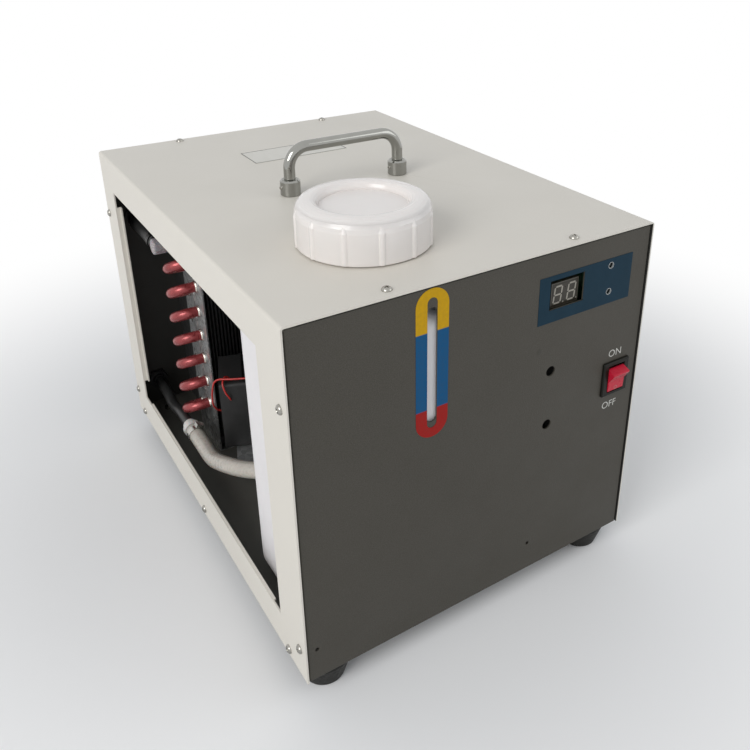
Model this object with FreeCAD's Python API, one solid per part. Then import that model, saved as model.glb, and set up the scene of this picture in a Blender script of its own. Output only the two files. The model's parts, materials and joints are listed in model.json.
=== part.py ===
import FreeCAD, Part
import math
import os

from FreeCAD import Vector as V

# Bench-top water chiller with a refillable tank: a bent sheet cover with a side window and a carrying
# handle, a plain front panel with a sight slot, a two-digit controller and a rocker switch, and inside it a
# moulded tank, a pump, a two-row copper coil in a fin pack, a rear fan and the hoses between them.
# Millimetres. Worked in a casing frame: x from the left wall, y from the front edge, z from the underside.

# ---------------------------------------------------------------- driving sizes
W, D, H = 294.0, 400.0, 277.0        # casing: width, depth, height without feet
SHEET = 1.2                          # sheet metal
BEND = 2.4                           # outer bend radius of the cover
PANEL_GAP = 1.0                      # shadow gap between the panels and the cover
PANEL_INSET = 1.0                    # panels sit this far inside the cover's edge
FLANGE = 15.0                        # return flanges of the panels
BASE_LAP = 50.0                      # how far the panels fold under the base pan
FIT = 0.3                            # seat clearance between pieces of one body

FOOT_H, FOOT_TOP_R, FOOT_BOT_R, FOOT_IN = 22.0, 20.8, 15.2, 22.8
SCREW_R, SCREW_HEAD_R, SCREW_HEAD_H, SCREW_LEN = 1.75, 3.5, 2.2, 8.0
EDGE = 6.0                           # screw rows from the rear and bottom edges
FRONT_ROW = 9.4                      # screw rows from the front edge

WIN_FRONT, WIN_REAR, WIN_BOTTOM, WIN_TOP = 40.0, 39.0, 30.0, 30.0   # margins round the side window
GUIDE, GUIDE_LIP, GUIDE_CUT = 8.0, 2.5, 10.0                        # filter guide: depth, lip, short at corners

HANDLE_PITCH, HANDLE_R, HANDLE_UP, HANDLE_BEND = 98.0, 4.5, 37.0, 16.0
FERRULE_R, FERRULE_H = 8.0, 12.5

TANK_X0, TANK_Y0, TANK_RIGHT, TANK_DEPTH, TANK_DROP = 16.0, 3.4, 110.0, 123.6, 21.0
TANK_WALL, TANK_CORNER, TANK_ROUND, TANK_PAD = 3.0, 20.0, 13.0, 4.0
NECK_X, NECK_Y, NECK_R, NECK_WALL, NECK_UP = 100.0, 83.5, 41.0, 3.5, 26.6
CAP_R, CAP_H, CAP_WALL, CAP_RECESS_R, CAP_RECESS = 47.5, 32.0, 3.2, 30.5, 5.8
GRIPS, GRIP_R, GRIP_OUT = 12, 3.2, 0.9    # soft upright grip ribs on the cap's skirt
CAP_RISE = 0.8                       # cap's lower edge over the cover
LINER_T = 1.5

SLOT_X, SLOT_W, SLOT_DROP, SLOT_H = 100.9, 7.7, 9.0, 95.8      # hole in the level sticker, from the casing's top
SIGHT_DROP, SIGHT_H = 16.0, 84.5                               # shorter slot in the panel behind it
RING_W, RING_DROP, RING_H, STICKER = 24.8, 2.6, 109.4, 0.25

LABEL_W, LABEL_H, LABEL_RIGHT, LABEL_TOP = 87.6, 36.0, 18.4, 19.6
WINDOW_W, WINDOW_H, WINDOW_DX, WINDOW_DZ = 31.4, 22.5, 9.7, 9.6    # display window inside the label
MODULE_W, MODULE_H, MODULE_DX, MODULE_DZ, MODULE_BACK = 25.2, 19.0, 0.8, -2.7, 3.2   # off the window's middle, behind it
LED_R, LED_DX, LED_TOP, LED_PITCH, LED_BACK = 2.4, 21.2, 5.5, 20.8, 1.0
BOARD_GAP, BOARD_T = 12.0, 1.6

SWITCH_RIGHT, SWITCH_DROP, BEZEL_W, BEZEL_H, BEZEL_T = 23.7, 123.2, 26.5, 29.6, 2.2
ROCKER_W, ROCKER_H, ROCKER_LIP, ROCKER_TILT = 16.0, 18.4, 6.8, 18.5
SWITCH_DEPTH = 22.0

SPARE_R, SPARE_RIGHT, SPARE_DZ = 4.1, 90.4, (26.8, -19.1)      # spare holes, above and below the switch's height
PILOT_R, PILOT_RIGHT = 1.6, 101.4

TUBE_R, TUBE_PITCH, ROW_PITCH, TUBE_FOOT = 4.75, 24.4, 22.0, 20.0
CORE_X, CORE_BACK, COIL_DROP = 42.0, 120.0, 67.2     # end plate face, fins' front face from the rear, highest tube
BEND_STUB, COLLAR = 6.5, 0.8
FIN_PITCH, FIN_T, FIN_CUT = 3.2, 1.0, 5.0
PLATE_LIP = 3.0

FAN_R, FAN_RING, FAN_DEPTH, FAN_TIP_GAP, FAN_HUB_R = 86.0, 5.0, 38.0, 2.5, 32.0
FAN_BLADES, FAN_SHAFT_R, FAN_RUN = 7, 4.0, 0.05
GUARD_WIRE = 0.9

PUMP_X, PUMP_BACK, PUMP_TURN = 31.0, 176.0, -20.0
PUMP_L, PUMP_W, PUMP_H, SHELF_Z = 72.0, 52.0, 66.0, 43.0
SHELF_T, SHELF_OUT, SHELF_IN = 1.5, 28.0, 9.5
HEAD_R, HEAD_L = 24.0, 26.0

HOSE_R, HOSE_BORE, THIN_R, THIN_BORE = 7.0, 4.6, 5.0, 3.1
BARB_BORE = 3.1
DRAIN_X, DRAIN_Z = 38.0, 61.0        # tank spouts on its rear wall
SUCTION_IN, SUCTION_Z = 24.0, 74.0   # from the tank's right end
RETURN_IN, RETURN_Z = 34.0, 152.0
SIDE_X, REAR_DRAIN_Z, REAR_OUT_DROP = 21.0, 30.0, 35.0
SPIGOT_OUT = 26.0

PSU_L, PSU_W, PSU_H, PSU_Y = 129.0, 98.0, 38.0, 60.0
INLET_W, INLET_H, INLET_Z = 27.0, 20.0, 92.0

# ---------------------------------------------------------------- placed sizes
PX0, PX1 = SHEET + PANEL_GAP, W - SHEET - PANEL_GAP          # panels, left and right
PY0, PY1 = PANEL_INSET, D - PANEL_INSET                      # front face and rear face of the panels
PZ1 = H - SHEET - PANEL_GAP
IY0, IY1 = PY0 + SHEET, PY1 - SHEET                          # inner faces of the panels
FLOOR = 2 * SHEET                                            # top of the base pan
TOP_UNDER = H - SHEET
SLOT_Z1, SIGHT_Z1, RING_Z1 = H - SLOT_DROP, H - SIGHT_DROP, H - RING_DROP
SLOT_Z0, SIGHT_Z0, RING_Z0 = SLOT_Z1 - SLOT_H, SIGHT_Z1 - SIGHT_H, RING_Z1 - RING_H
SWITCH_Z = H - SWITCH_DROP
SPARE_X, SPARE_Z = W - SPARE_RIGHT, [SWITCH_Z + dz for dz in SPARE_DZ]
PILOT_AT = ((9.0, 26.9), (W - PILOT_RIGHT, 26.3))
CORE_Y, COIL_TOP, REAR_OUT_Z = D - CORE_BACK, H - COIL_DROP, H - REAR_OUT_DROP
TUBES = 2 * int((COIL_TOP - TUBE_PITCH / 2 - TUBE_FOOT) / TUBE_PITCH) + 1     # odd, so the coil ends on the right
PUMP_Y = D - PUMP_BACK

ROCKER_TIP = 0.6                                             # blunt edge of the rocker
lean = math.radians(ROCKER_TILT)
PIN_Y = PY0 + 1.0                                            # rocker's pin
FRONT_Y = PIN_Y - ROCKER_LIP * math.cos(lean) - (ROCKER_H / 2 - ROCKER_TIP) * math.sin(lean)      # foremost point
SHIFT = V(-W / 2, -(FRONT_Y + PY1 + SPIGOT_OUT) / 2, FOOT_H)   # casing frame to part frame

nodes = {}


def box(x0, y0, z0, x1, y1, z1):
    return Part.makeBox(x1 - x0, y1 - y0, z1 - z0, V(x0, y0, z0))


def cyl(r, p, q):
    p, q = V(*p), V(*q)
    return Part.makeCylinder(r, (q - p).Length, p, q - p)


def cone(r0, r1, p, q):
    p, q = V(*p), V(*q)
    return Part.makeCone(r0, r1, (q - p).Length, p, q - p)


def join(first, *rest):
    shape = first.fuse(list(rest)) if rest else first
    return shape.removeSplitter()


def take(shape, *tools):
    return shape.cut(list(tools)) if tools else shape


def both(shapes):
    return Part.makeCompound(list(shapes))


def rounded(shape, r, pick):
    edges = [e for e in shape.Edges if pick(e)]
    return shape.makeFillet(r, edges) if edges else shape


def along(e, axis):
    if len(e.Vertexes) < 2:
        return False
    d = e.Vertexes[-1].Point - e.Vertexes[0].Point
    return d.Length > 1e-6 and abs(abs(d.getAngle(axis)) % math.pi) < 1e-4 or \
        d.Length > 1e-6 and abs(d.getAngle(axis) - math.pi) < 1e-4


def poly(points):
    pts = [V(*p) for p in points]
    return Part.Face(Part.makePolygon(pts + [pts[0]]))


def revolve(rz, centre, axis="z"):
    """Solid of revolution from (radius, height) pairs about an upright axis at centre."""
    face = poly([(r, 0, h) for r, h in rz])
    solid = face.revolve(V(0, 0, 0), V(0, 0, 1), 360)
    if axis == "y":
        solid.rotate(V(0, 0, 0), V(1, 0, 0), -90)            # height now runs along +Y
    elif axis == "-y":
        solid.rotate(V(0, 0, 0), V(1, 0, 0), 90)
    elif axis == "x":
        solid.rotate(V(0, 0, 0), V(0, 1, 0), 90)
    elif axis == "-x":
        solid.rotate(V(0, 0, 0), V(0, 1, 0), -90)
    solid.translate(V(*centre))
    return solid


def stadium(x, z0, z1, w, y0, y1):
    """Upright slot shape, w wide, from z0 to z1 over its round ends, as a prism along Y."""
    r = w / 2
    body = box(x - r, y0, z0 + r, x + r, y1, z1 - r)
    return join(body, cyl(r, (x, y0, z0 + r), (x, y1, z0 + r)), cyl(r, (x, y0, z1 - r), (x, y1, z1 - r)))


def soft_box(x0, y0, z0, x1, y1, z1, corner, edge):
    """Box with rounded upright corners and smaller rounded rims, as a moulded vessel has."""
    s = box(x0, y0, z0, x1, y1, z1)
    s = rounded(s, corner, lambda e: along(e, V(0, 0, 1)))
    s = rounded(s, edge, lambda e: abs(e.BoundBox.ZLength) < 1e-6)
    return s


def route(points, lead=0.0, tail=0.0):
    """Straight runs joined by tangent arcs, as wide as the shorter run lets them be.
    lead and tail are lengths that stay straight at the ends, where a hose sits on its barb."""
    pts = [V(*p) for p in points]
    edges, here, radii = [], pts[0], []
    for a, b, c in zip(pts, pts[1:], pts[2:]):
        u, w = (b - a), (c - b)
        run = 0.45 * min(u.Length, w.Length)
        if a is pts[0]:
            run = min(run, u.Length - lead)
        if c is pts[-1]:
            run = min(run, w.Length - tail)
        u.normalize(), w.normalize()
        turn = u.getAngle(w)
        radius = run / math.tan(turn / 2)
        p, q = b - u * run, b + w * run
        side = (w - u).normalize()
        centre = b + side * (radius / math.cos(turn / 2))
        mid = centre - side * radius
        edges.append(Part.LineSegment(here, p).toShape())
        edges.append(Part.Arc(p, mid, q).toShape())
        here = q
        radii.append(round(radius, 1))
    edges.append(Part.LineSegment(here, pts[-1]).toShape())
    return Part.Wire(edges), radii


def sweep(wire, r):
    start = wire.OrderedVertexes[0].Point
    first = wire.OrderedEdges[0]
    d = first.tangentAt(first.FirstParameter)
    circle = Part.Wire([Part.makeCircle(r, start, d)])
    return wire.makePipeShell([circle], True, False)


def hose(name, points, r, bore, lead=0.0, tail=0.0):
    wire, radii = route(points, lead, tail)
    solid = take(sweep(wire, r), sweep(wire, bore))
    print(name, "length %.0f" % wire.Length, "radii", radii,
          "volume %.4f of section times length" % (solid.Volume / (math.pi * (r * r - bore * bore) * wire.Length)))
    return solid


def screw(at, out, length=SCREW_LEN, r=SCREW_R, head=SCREW_HEAD_R, rise=SCREW_HEAD_H):
    """Pan-head screw: at is the seat of the head, out points away from the seat."""
    a, o = V(*at), V(*out)
    shank = Part.makeCylinder(r, length, a - o * length, o)
    low = Part.makeCylinder(head, rise * 0.55, a, o)
    dome = Part.makeCone(head, head * 0.62, rise * 0.45, a + o * (rise * 0.55), o)
    return join(shank, low, dome)


# ---------------------------------------------------------------- cover
def cover_screw_places():
    """(seat, outward) for the cover's screws: top rows, then each side."""
    places = []
    for x in (W / 4, W - W / 4 + 3.5):
        for y in (FRONT_ROW, D - EDGE):
            places.append(((x, y, H), (0, 0, 1)))
    for x, out in ((0.0, (-1, 0, 0)), (W, (1, 0, 0))):
        for z in (25.0, 219.0):
            places.append(((x, FRONT_ROW, z), out))
            places.append(((x, D - EDGE, z), out))
        for y in (29.0, D / 2 + 2.4, D - 21.0):
            places.append(((x, y, EDGE), out))
    return places


def handle_feet():
    return [(W / 2 - HANDLE_PITCH / 2, D / 2 - 2.5), (W / 2 + HANDLE_PITCH / 2, D / 2 - 2.5)]


def make_cover():
    outer = rounded(box(0, 0, 0, W, D, H), BEND, lambda e: along(e, V(0, 1, 0)) and e.CenterOfMass.z > H - 1)
    inner = rounded(box(SHEET, -1, -1, W - SHEET, D + 1, H - SHEET), BEND - SHEET,
                    lambda e: along(e, V(0, 1, 0)) and e.CenterOfMass.z > H - SHEET - 1)
    y0, y1, z0, z1 = WIN_FRONT, D - WIN_REAR, WIN_BOTTOM, H - WIN_TOP
    cuts = [inner, box(-1, y0, z0, SHEET + 1, y1, z1),
            cyl(NECK_R + 1.5, (NECK_X, NECK_Y, H - 5), (NECK_X, NECK_Y, H + 5))]
    for (p, o) in cover_screw_places():
        a, b = V(*p) + V(*o) * 2, V(*p) - V(*o) * 4
        cuts.append(cyl(SCREW_R + FIT, tuple(a), tuple(b)))
    for x, y in handle_feet():
        cuts.append(cyl(2.3, (x, y, H - 5), (x, y, H + 5)))
    shell = take(outer, *cuts)
    xi, xo = SHEET, SHEET + GUIDE
    c = GUIDE_CUT
    flanges = []
    for a, b in (((xi - 0.5, y0 + c, z0 - SHEET), (xo, y1 - c * 2, z0)),            # lower guide and its lip
                 ((xo - SHEET, y0 + c, z0 - SHEET), (xo, y1 - c * 2, z0 + GUIDE_LIP)),
                 ((xi - 0.5, y0 + c, z1), (xo, y1 - c * 2, z1 + SHEET)),
                 ((xo - SHEET, y0 + c, z1 - GUIDE_LIP), (xo, y1 - c * 2, z1 + SHEET)),
                 ((xi - 0.5, y1, z0 + c * 3), (xo, y1 + SHEET, z1 - c)),
                 ((xo - SHEET, y1 - GUIDE_LIP, z0 + c * 3), (xo, y1 + SHEET, z1 - c)),
                 ((xi - 0.5, y0 - SHEET, z0 + c * 3), (xo, y0, z1 - c)),
                 ((xo - SHEET, y0 - SHEET, z0 + c * 3), (xo, y0 + GUIDE_LIP, z1 - c))):
        flanges.append(box(*a, *b))
    return join(shell, *flanges)


nodes["cover"] = make_cover()
nodes["cover_screws"] = both(screw(p, o) for p, o in cover_screw_places())


# ---------------------------------------------------------------- panels and base
def panel_blank(front):
    """Flat panel with side, top and bottom return flanges; the front one at the front edge."""
    s = 1 if front else -1
    face = PY0 if front else PY1
    back = face + s * SHEET

    def slab(x0, a, z0, x1, b, z1):
        return box(x0, min(a, b), z0, x1, max(a, b), z1)
    plate = slab(PX0, face, 0, PX1, back, PZ1)
    parts = [slab(PX0, face, 4 + FLOOR, PX0 + SHEET, face + s * FLANGE, PZ1 - 8),
             slab(PX1 - SHEET, face, 4 + FLOOR, PX1, face + s * FLANGE, PZ1 - 8),
             slab(PX0 + 8, face, PZ1 - SHEET, PX1 - 8, face + s * FLANGE, PZ1),
             slab(PX0 + 2, face, 0, PX1 - 2, face + s * BASE_LAP, SHEET)]
    blank = join(plate, *parts)
    rim = [e for e in blank.Edges if abs(e.CenterOfMass.y - face) < 1e-6 and e.BoundBox.YLength < 1e-6
           and e.Length > 200]
    blank = blank.makeFillet(0.9, rim)
    cuts = []
    for (p, o) in cover_screw_places():
        a, b = V(*p) + V(*o), V(*p) - V(*o) * 6
        cuts.append(cyl(SCREW_R + 0.15, tuple(a), tuple(b)))
    for x in (FOOT_IN, W - FOOT_IN):
        for y in (FOOT_IN, D - FOOT_IN):
            cuts.append(cyl(2.3, (x, y, -1), (x, y, 5)))
    return take(blank, *cuts)


def label_box():
    x1, z1 = W - LABEL_RIGHT, H - LABEL_TOP
    return x1 - LABEL_W, z1 - LABEL_H, x1, z1


LX0, LZ0, LX1, LZ1 = label_box()
WX0, WZ0 = LX0 + WINDOW_DX, LZ0 + WINDOW_DZ
WX1, WZ1 = WX0 + WINDOW_W, WZ0 + WINDOW_H
LEDS = [(LX1 - LED_DX, LZ1 - LED_TOP), (LX1 - LED_DX, LZ1 - LED_TOP - LED_PITCH)]
SX, SZ = W - SWITCH_RIGHT, SWITCH_Z


def make_front():
    y0, y1 = PY0 - 2, IY0 + 2
    cuts = [stadium(SLOT_X, SIGHT_Z0, SIGHT_Z1, SLOT_W, y0, y1),
            box(WX0, y0, WZ0, WX1, y1, WZ1),
            box(SX - BEZEL_W / 2 + 2, y0, SZ - BEZEL_H / 2 + 1.8, SX + BEZEL_W / 2 - 2, y1, SZ + BEZEL_H / 2 - 1.8)]
    cuts += [cyl(LED_R + 0.2, (x, y0, z), (x, y1, z)) for x, z in LEDS]
    cuts += [cyl(SPARE_R, (SPARE_X, y0, z), (SPARE_X, y1, z)) for z in SPARE_Z]
    cuts += [cyl(PILOT_R, (x, y0, z), (x, y1, z)) for x, z in PILOT_AT]
    return take(panel_blank(True), *cuts)


nodes["front_panel"] = make_front()

FAN_X = W / 2
CORE_Z0 = COIL_TOP - (TUBES - 1) * TUBE_PITCH / 2 - TUBE_PITCH / 2
CORE_Z1 = COIL_TOP + TUBE_PITCH / 2
CORE_Y1 = CORE_Y + 2 * ROW_PITCH
FAN_Z = (CORE_Z0 + CORE_Z1) / 2
LUG = (FAN_R + 5.0) / math.sqrt(2)
LUGS = [(FAN_X + i * LUG, FAN_Z + j * LUG) for i in (-1, 1) for j in (-1, 1)]
OTHER_X = W - SIDE_X
RIGHT_Z = COIL_TOP - (TUBES - 1) * TUBE_PITCH / 2     # lowest tube
SPIGOTS = {"inlet": (SIDE_X, COIL_TOP), "drain": (SIDE_X, REAR_DRAIN_Z), "outlet": (OTHER_X, REAR_OUT_Z)}


def make_rear():
    y0, y1 = IY1 - 2, PY1 + 2
    cuts = [cyl(FAN_R - FAN_RING, (FAN_X, y0, FAN_Z), (FAN_X, y1, FAN_Z))]
    cuts += [cyl(2.3, (x, y0, z), (x, y1, z)) for x, z in LUGS]
    cuts += [cyl(6.3, (x, y0, z), (x, y1, z)) for x, z in SPIGOTS.values()]
    cuts.append(box(OTHER_X - INLET_H / 2, y0, INLET_Z - INLET_W / 2, OTHER_X + INLET_H / 2, y1, INLET_Z + INLET_W / 2))
    return take(panel_blank(False), *cuts)


nodes["rear_panel"] = make_rear()


def make_base():
    tray = join(box(PX0, IY0 + FIT, SHEET, PX1, IY1 - FIT, FLOOR),
                box(PX0, PY0 + FLANGE + 4, SHEET, PX0 + SHEET, PY1 - FLANGE - 4, FLANGE),
                box(PX1 - SHEET, PY0 + FLANGE + 4, SHEET, PX1, PY1 - FLANGE - 4, FLANGE))
    cuts = []
    for (p, o) in cover_screw_places():
        a, b = V(*p) + V(*o), V(*p) - V(*o) * 6
        cuts.append(cyl(SCREW_R + 0.15, tuple(a), tuple(b)))
    for x in (FOOT_IN, W - FOOT_IN):
        for y in (FOOT_IN, D - FOOT_IN):
            cuts.append(cyl(2.3, (x, y, -1), (x, y, 5)))
    return take(tray, *cuts)


nodes["base_pan"] = make_base()

# ---------------------------------------------------------------- feet
feet_at = {"front_left": (FOOT_IN, FOOT_IN), "front_right": (W - FOOT_IN, FOOT_IN),
           "rear_left": (FOOT_IN, D - FOOT_IN), "rear_right": (W - FOOT_IN, D - FOOT_IN)}
for name, (x, y) in feet_at.items():
    nodes["foot_" + name] = revolve([(2.3, 0), (FOOT_TOP_R - 1, 0), (FOOT_TOP_R, -1), (FOOT_TOP_R, -3),
                                     (FOOT_BOT_R, -FOOT_H + 1.2), (FOOT_BOT_R - 1.2, -FOOT_H), (7.0, -FOOT_H),
                                     (6.5, -FOOT_H + 7), (2.3, -FOOT_H + 7)], (x, y, 0))
hexagon = [(3.5 / math.cos(math.pi / 6) * math.cos(a * math.pi / 3), 3.5 / math.cos(math.pi / 6) * math.sin(a * math.pi / 3))
           for a in range(6)]


def nut(x, y, z, h, scale=1.0, bore=2.15):
    prism = poly([(x + scale * a, y + scale * b, z) for a, b in hexagon]).extrude(V(0, 0, h))
    return take(prism, cyl(bore, (x, y, z - 1), (x, y, z + h + 1)))


nodes["foot_screws"] = both([screw((x, y, -FOOT_H + 7), (0, 0, -1), length=FOOT_H - 7 + FLOOR + 2.8, r=2.0, head=4.0, rise=2.6)
                             for x, y in feet_at.values()] + [nut(x, y, FLOOR, 2.6) for x, y in feet_at.values()])

# ---------------------------------------------------------------- carrying handle
(hx0, hy), (hx1, _) = handle_feet()
bar_z0, bar_z1 = H + 1.0, H + HANDLE_UP


def make_bar():
    b = HANDLE_BEND
    s = math.sqrt(0.5)
    p = [V(hx0, hy, bar_z0), V(hx0, hy, bar_z1 - b), V(hx0 + b, hy, bar_z1), V(hx1 - b, hy, bar_z1),
         V(hx1, hy, bar_z1 - b), V(hx1, hy, bar_z0)]
    m0 = V(hx0 + b - b * s, hy, bar_z1 - b + b * s)
    m1 = V(hx1 - b + b * s, hy, bar_z1 - b + b * s)
    wire = Part.Wire([Part.LineSegment(p[0], p[1]).toShape(), Part.Arc(p[1], m0, p[2]).toShape(),
                      Part.LineSegment(p[2], p[3]).toShape(), Part.Arc(p[3], m1, p[4]).toShape(),
                      Part.LineSegment(p[4], p[5]).toShape()])
    bar = sweep(wire, HANDLE_R)
    return take(bar, *[cyl(2.1, (x, hy, H - 1), (x, hy, H + 12)) for x in (hx0, hx1)])


nodes["handle_bar"] = make_bar()
ferrule_profile = [(HANDLE_R + 0.15, 0), (FERRULE_R - 0.6, 0), (FERRULE_R, 0.6), (FERRULE_R, FERRULE_H - 1.2),
                   (FERRULE_R - 1.2, FERRULE_H), (HANDLE_R + 1.9, FERRULE_H), (HANDLE_R + 0.15, FERRULE_H - 1.8)]
set_hole = [cyl(1.6, (x - FERRULE_R - 1, hy, H + 6.6), (x, hy, H + 6.6)) for x in (hx0, hx1)]
nodes["handle_ferrules"] = both(take(revolve(ferrule_profile, (x, hy, H)), hole) for x, hole in zip((hx0, hx1), set_hole))
nodes["handle_set_screws"] = both(take(cyl(1.5, (x - FERRULE_R - 0.6, hy, H + 6.6), (x - HANDLE_R - FIT, hy, H + 6.6)),
                                       cyl(0.8, (x - FERRULE_R - 1, hy, H + 6.6), (x - FERRULE_R + 1, hy, H + 6.6)))
                                  for x in (hx0, hx1))
nodes["handle_bolts"] = both(screw((x, hy, TOP_UNDER), (0, 0, -1), length=11.0, r=1.95, head=4.0, rise=2.6)
                             for x in (hx0, hx1))


# ---------------------------------------------------------------- tank, cap and its liner
TX0, TX1, TY0, TY1 = TANK_X0, W - TANK_RIGHT, TANK_Y0, TANK_Y0 + TANK_DEPTH
TZ0, TZ1 = FLOOR + TANK_PAD, H - TANK_DROP
SUCTION_X, RETURN_X = TX1 - SUCTION_IN, TX1 - RETURN_IN
NECK_Z = H + NECK_UP
NECK_IN = NECK_R - NECK_WALL
SPOUTS = [(DRAIN_X, DRAIN_Z), (SUCTION_X, SUCTION_Z), (RETURN_X, RETURN_Z)]


def make_tank():
    w = TANK_WALL
    outer = soft_box(TX0, TY0, TZ0, TX1, TY1, TZ1, TANK_CORNER, TANK_ROUND)
    inner = soft_box(TX0 + w, TY0 + w, TZ0 + w, TX1 - w, TY1 - w, TZ1 - w, TANK_CORNER - w, TANK_ROUND - w)
    mouth = cyl(NECK_IN, (NECK_X, NECK_Y, TZ1 - 3 * w), (NECK_X, NECK_Y, TZ1 + 1))
    holes = [cyl(5.2, (x, TY1 - 3 * w, z), (x, TY1 + 1, z)) for x, z in SPOUTS]
    neck = revolve([(NECK_IN, TZ1), (NECK_R + 4, TZ1), (NECK_R + 4, TZ1 + 2.5), (NECK_R, TZ1 + 5), (NECK_R, NECK_Z - 1),
                    (NECK_R - 1, NECK_Z), (NECK_IN, NECK_Z)], (NECK_X, NECK_Y, 0))      # its flange is welded on round the mouth
    return both([take(outer, inner, mouth, *holes), neck])


nodes["water_tank"] = make_tank()
nodes["tank_pad"] = box(TX0 + 18, TY0 + 16, FLOOR, TX1 - 18, TY1 - 16, TZ0)


def barb(reach, root=5.0, tip=4.4, flange=9.0):
    """Hose tail along +height from 0: flange, root and a two-step barb, bored through."""
    return [(BARB_BORE, -6), (5.0, -6), (5.0, 0), (flange, 0), (flange, 2.5), (root - 0.6, 2.5), (root - 0.6, reach * 0.4),
            (root - 0.2, reach * 0.4), (tip - 0.4, reach * 0.7), (root - 0.2, reach * 0.7), (tip - 0.8, reach),
            (BARB_BORE, reach)]


tail = barb(20.0, root=HOSE_BORE + 0.1, tip=HOSE_BORE)
nodes["tank_spouts"] = both(revolve(tail, (x, TY1 + FIT, z), "y") for x, z in SPOUTS)

CZ0, CZ1 = H + CAP_RISE, H + CAP_H
cap_in = CAP_R - CAP_WALL
roof = NECK_Z + FIT + LINER_T + FIT


def make_cap():
    """Broad rounded rim about a shallow recess, a plug below it and soft upright ribs on the skirt."""
    f, floor = CAP_RECESS_R, CZ1 - CAP_RECESS
    s = CAP_R - GRIP_OUT                                        # skirt between the ribs
    outer = revolve([(0, CZ0), (s - 0.5, CZ0), (s, CZ0 + 0.6), (s, CZ1 - 9.5), (s - 0.5, CZ1 - 6.2), (s - 1.7, CZ1 - 3.5),
                     (s - 3.6, CZ1 - 1.5), (s - 6.2, CZ1 - 0.4), (s - 9.0, CZ1), (f + 4.8, CZ1 - 0.1), (f + 2.8, CZ1 - 0.8),
                     (f + 1.3, CZ1 - 2.2), (f + 0.3, CZ1 - 4.2), (f, floor), (0, floor)], (NECK_X, NECK_Y, 0))
    ribs = []
    for n in range(GRIPS):
        a = math.radians((n + 0.5) * 360.0 / GRIPS)
        x, y = NECK_X + (CAP_R - GRIP_R) * math.cos(a), NECK_Y + (CAP_R - GRIP_R) * math.sin(a)
        ribs.append(cyl(GRIP_R, (x, y, CZ0 + 0.6), (x, y, CZ1 - 9.0)))
        ribs.append(cone(GRIP_R, GRIP_R - 1.6, (x, y, CZ1 - 9.0), (x, y, CZ1 - 5.0)))
    under = floor - CAP_WALL + 0.4
    cavity = revolve([(0, CZ0 - 1), (cap_in, CZ0 - 1), (cap_in, roof), (f + 3.0, roof), (f + 3.0, under + 1.4), (f + 1.6, under),
                      (0, under)], (NECK_X, NECK_Y, 0))
    return take(join(outer, *ribs), cavity)


nodes["tank_cap"] = make_cap()
liner_in, liner_out = CAP_RECESS_R + 3.6, cap_in - 0.6
nodes["cap_liner"] = take(cyl(liner_out, (NECK_X, NECK_Y, NECK_Z + FIT), (NECK_X, NECK_Y, NECK_Z + FIT + LINER_T)),
                          cyl(liner_in, (NECK_X, NECK_Y, NECK_Z - 1), (NECK_X, NECK_Y, NECK_Z + 5)))

# ---------------------------------------------------------------- stickers on the front and the top
nodes["level_sticker"] = take(stadium(SLOT_X, RING_Z0, RING_Z1, RING_W, PY0 - STICKER, PY0),
                              stadium(SLOT_X, SLOT_Z0, SLOT_Z1, SLOT_W, PY0 - 2, PY0 + 1))
nodes["display_sticker"] = take(box(LX0, PY0 - STICKER, LZ0, LX1, PY0, LZ1), box(WX0, PY0 - 2, WZ0, WX1, PY0 + 1, WZ1),
                                *[cyl(LED_R + 0.2, (x, PY0 - 2, z), (x, PY0 + 1, z)) for x, z in LEDS])
nodes["top_sticker"] = box(W / 2 - 41, D / 2 + 87, H, W / 2 + 49, D / 2 + 123, H + STICKER)


# ---------------------------------------------------------------- controller
BY = IY0 + BOARD_GAP


MX0, MZ0 = (WX0 + WX1 - MODULE_W) / 2 + MODULE_DX, (WZ0 + WZ1 - MODULE_H) / 2 + MODULE_DZ
MX1, MZ1, MY0 = MX0 + MODULE_W, MZ0 + MODULE_H, PY0 + MODULE_BACK


def make_module():
    body = box(MX0, MY0, MZ0, MX1, BY - FIT, MZ1)
    return take(body, box(MX0 + 1, MY0 - 1, MZ0 + 1, MX1 - 1, MY0 + 0.9, MZ1 - 1))


nodes["display_module"] = make_module()
nodes["display_pane"] = box(MX0 + 1 + FIT, MY0 + 0.1, MZ0 + 1 + FIT, MX1 - 1 - FIT, MY0 + 0.9, MZ1 - 1 - FIT)
led_y = PY0 + LED_BACK + LED_R
nodes["indicator_leds"] = both(join(cyl(LED_R, (x, led_y, z), (x, BY - 4, z)), cyl(LED_R + 0.5, (x, BY - 5, z), (x, BY, z)),
                                    Part.makeSphere(LED_R, V(x, led_y, z))) for x, z in LEDS)
bx0, bz0, bx1, bz1 = LX0 - 1, LZ0 - 8, LX1 + 2, LZ1 - 1
posts = [(bx0 + 4, bz0 + 4), (bx1 - 4, bz0 + 4), (bx0 + 4, bz1 - 4), (bx1 - 4, bz1 - 4)]
nodes["controller_board"] = take(box(bx0, BY, bz0, bx1, BY + BOARD_T, bz1),
                                 *[cyl(1.6, (x, BY - 1, z), (x, BY + 4, z)) for x, z in posts])
nodes["board_posts"] = both(join(cyl(3.0, (x, IY0, z), (x, BY, z)), cyl(1.45, (x, BY - 1, z), (x, BY + BOARD_T + 3, z)))
                            for x, z in posts)
top = BY + BOARD_T
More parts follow.
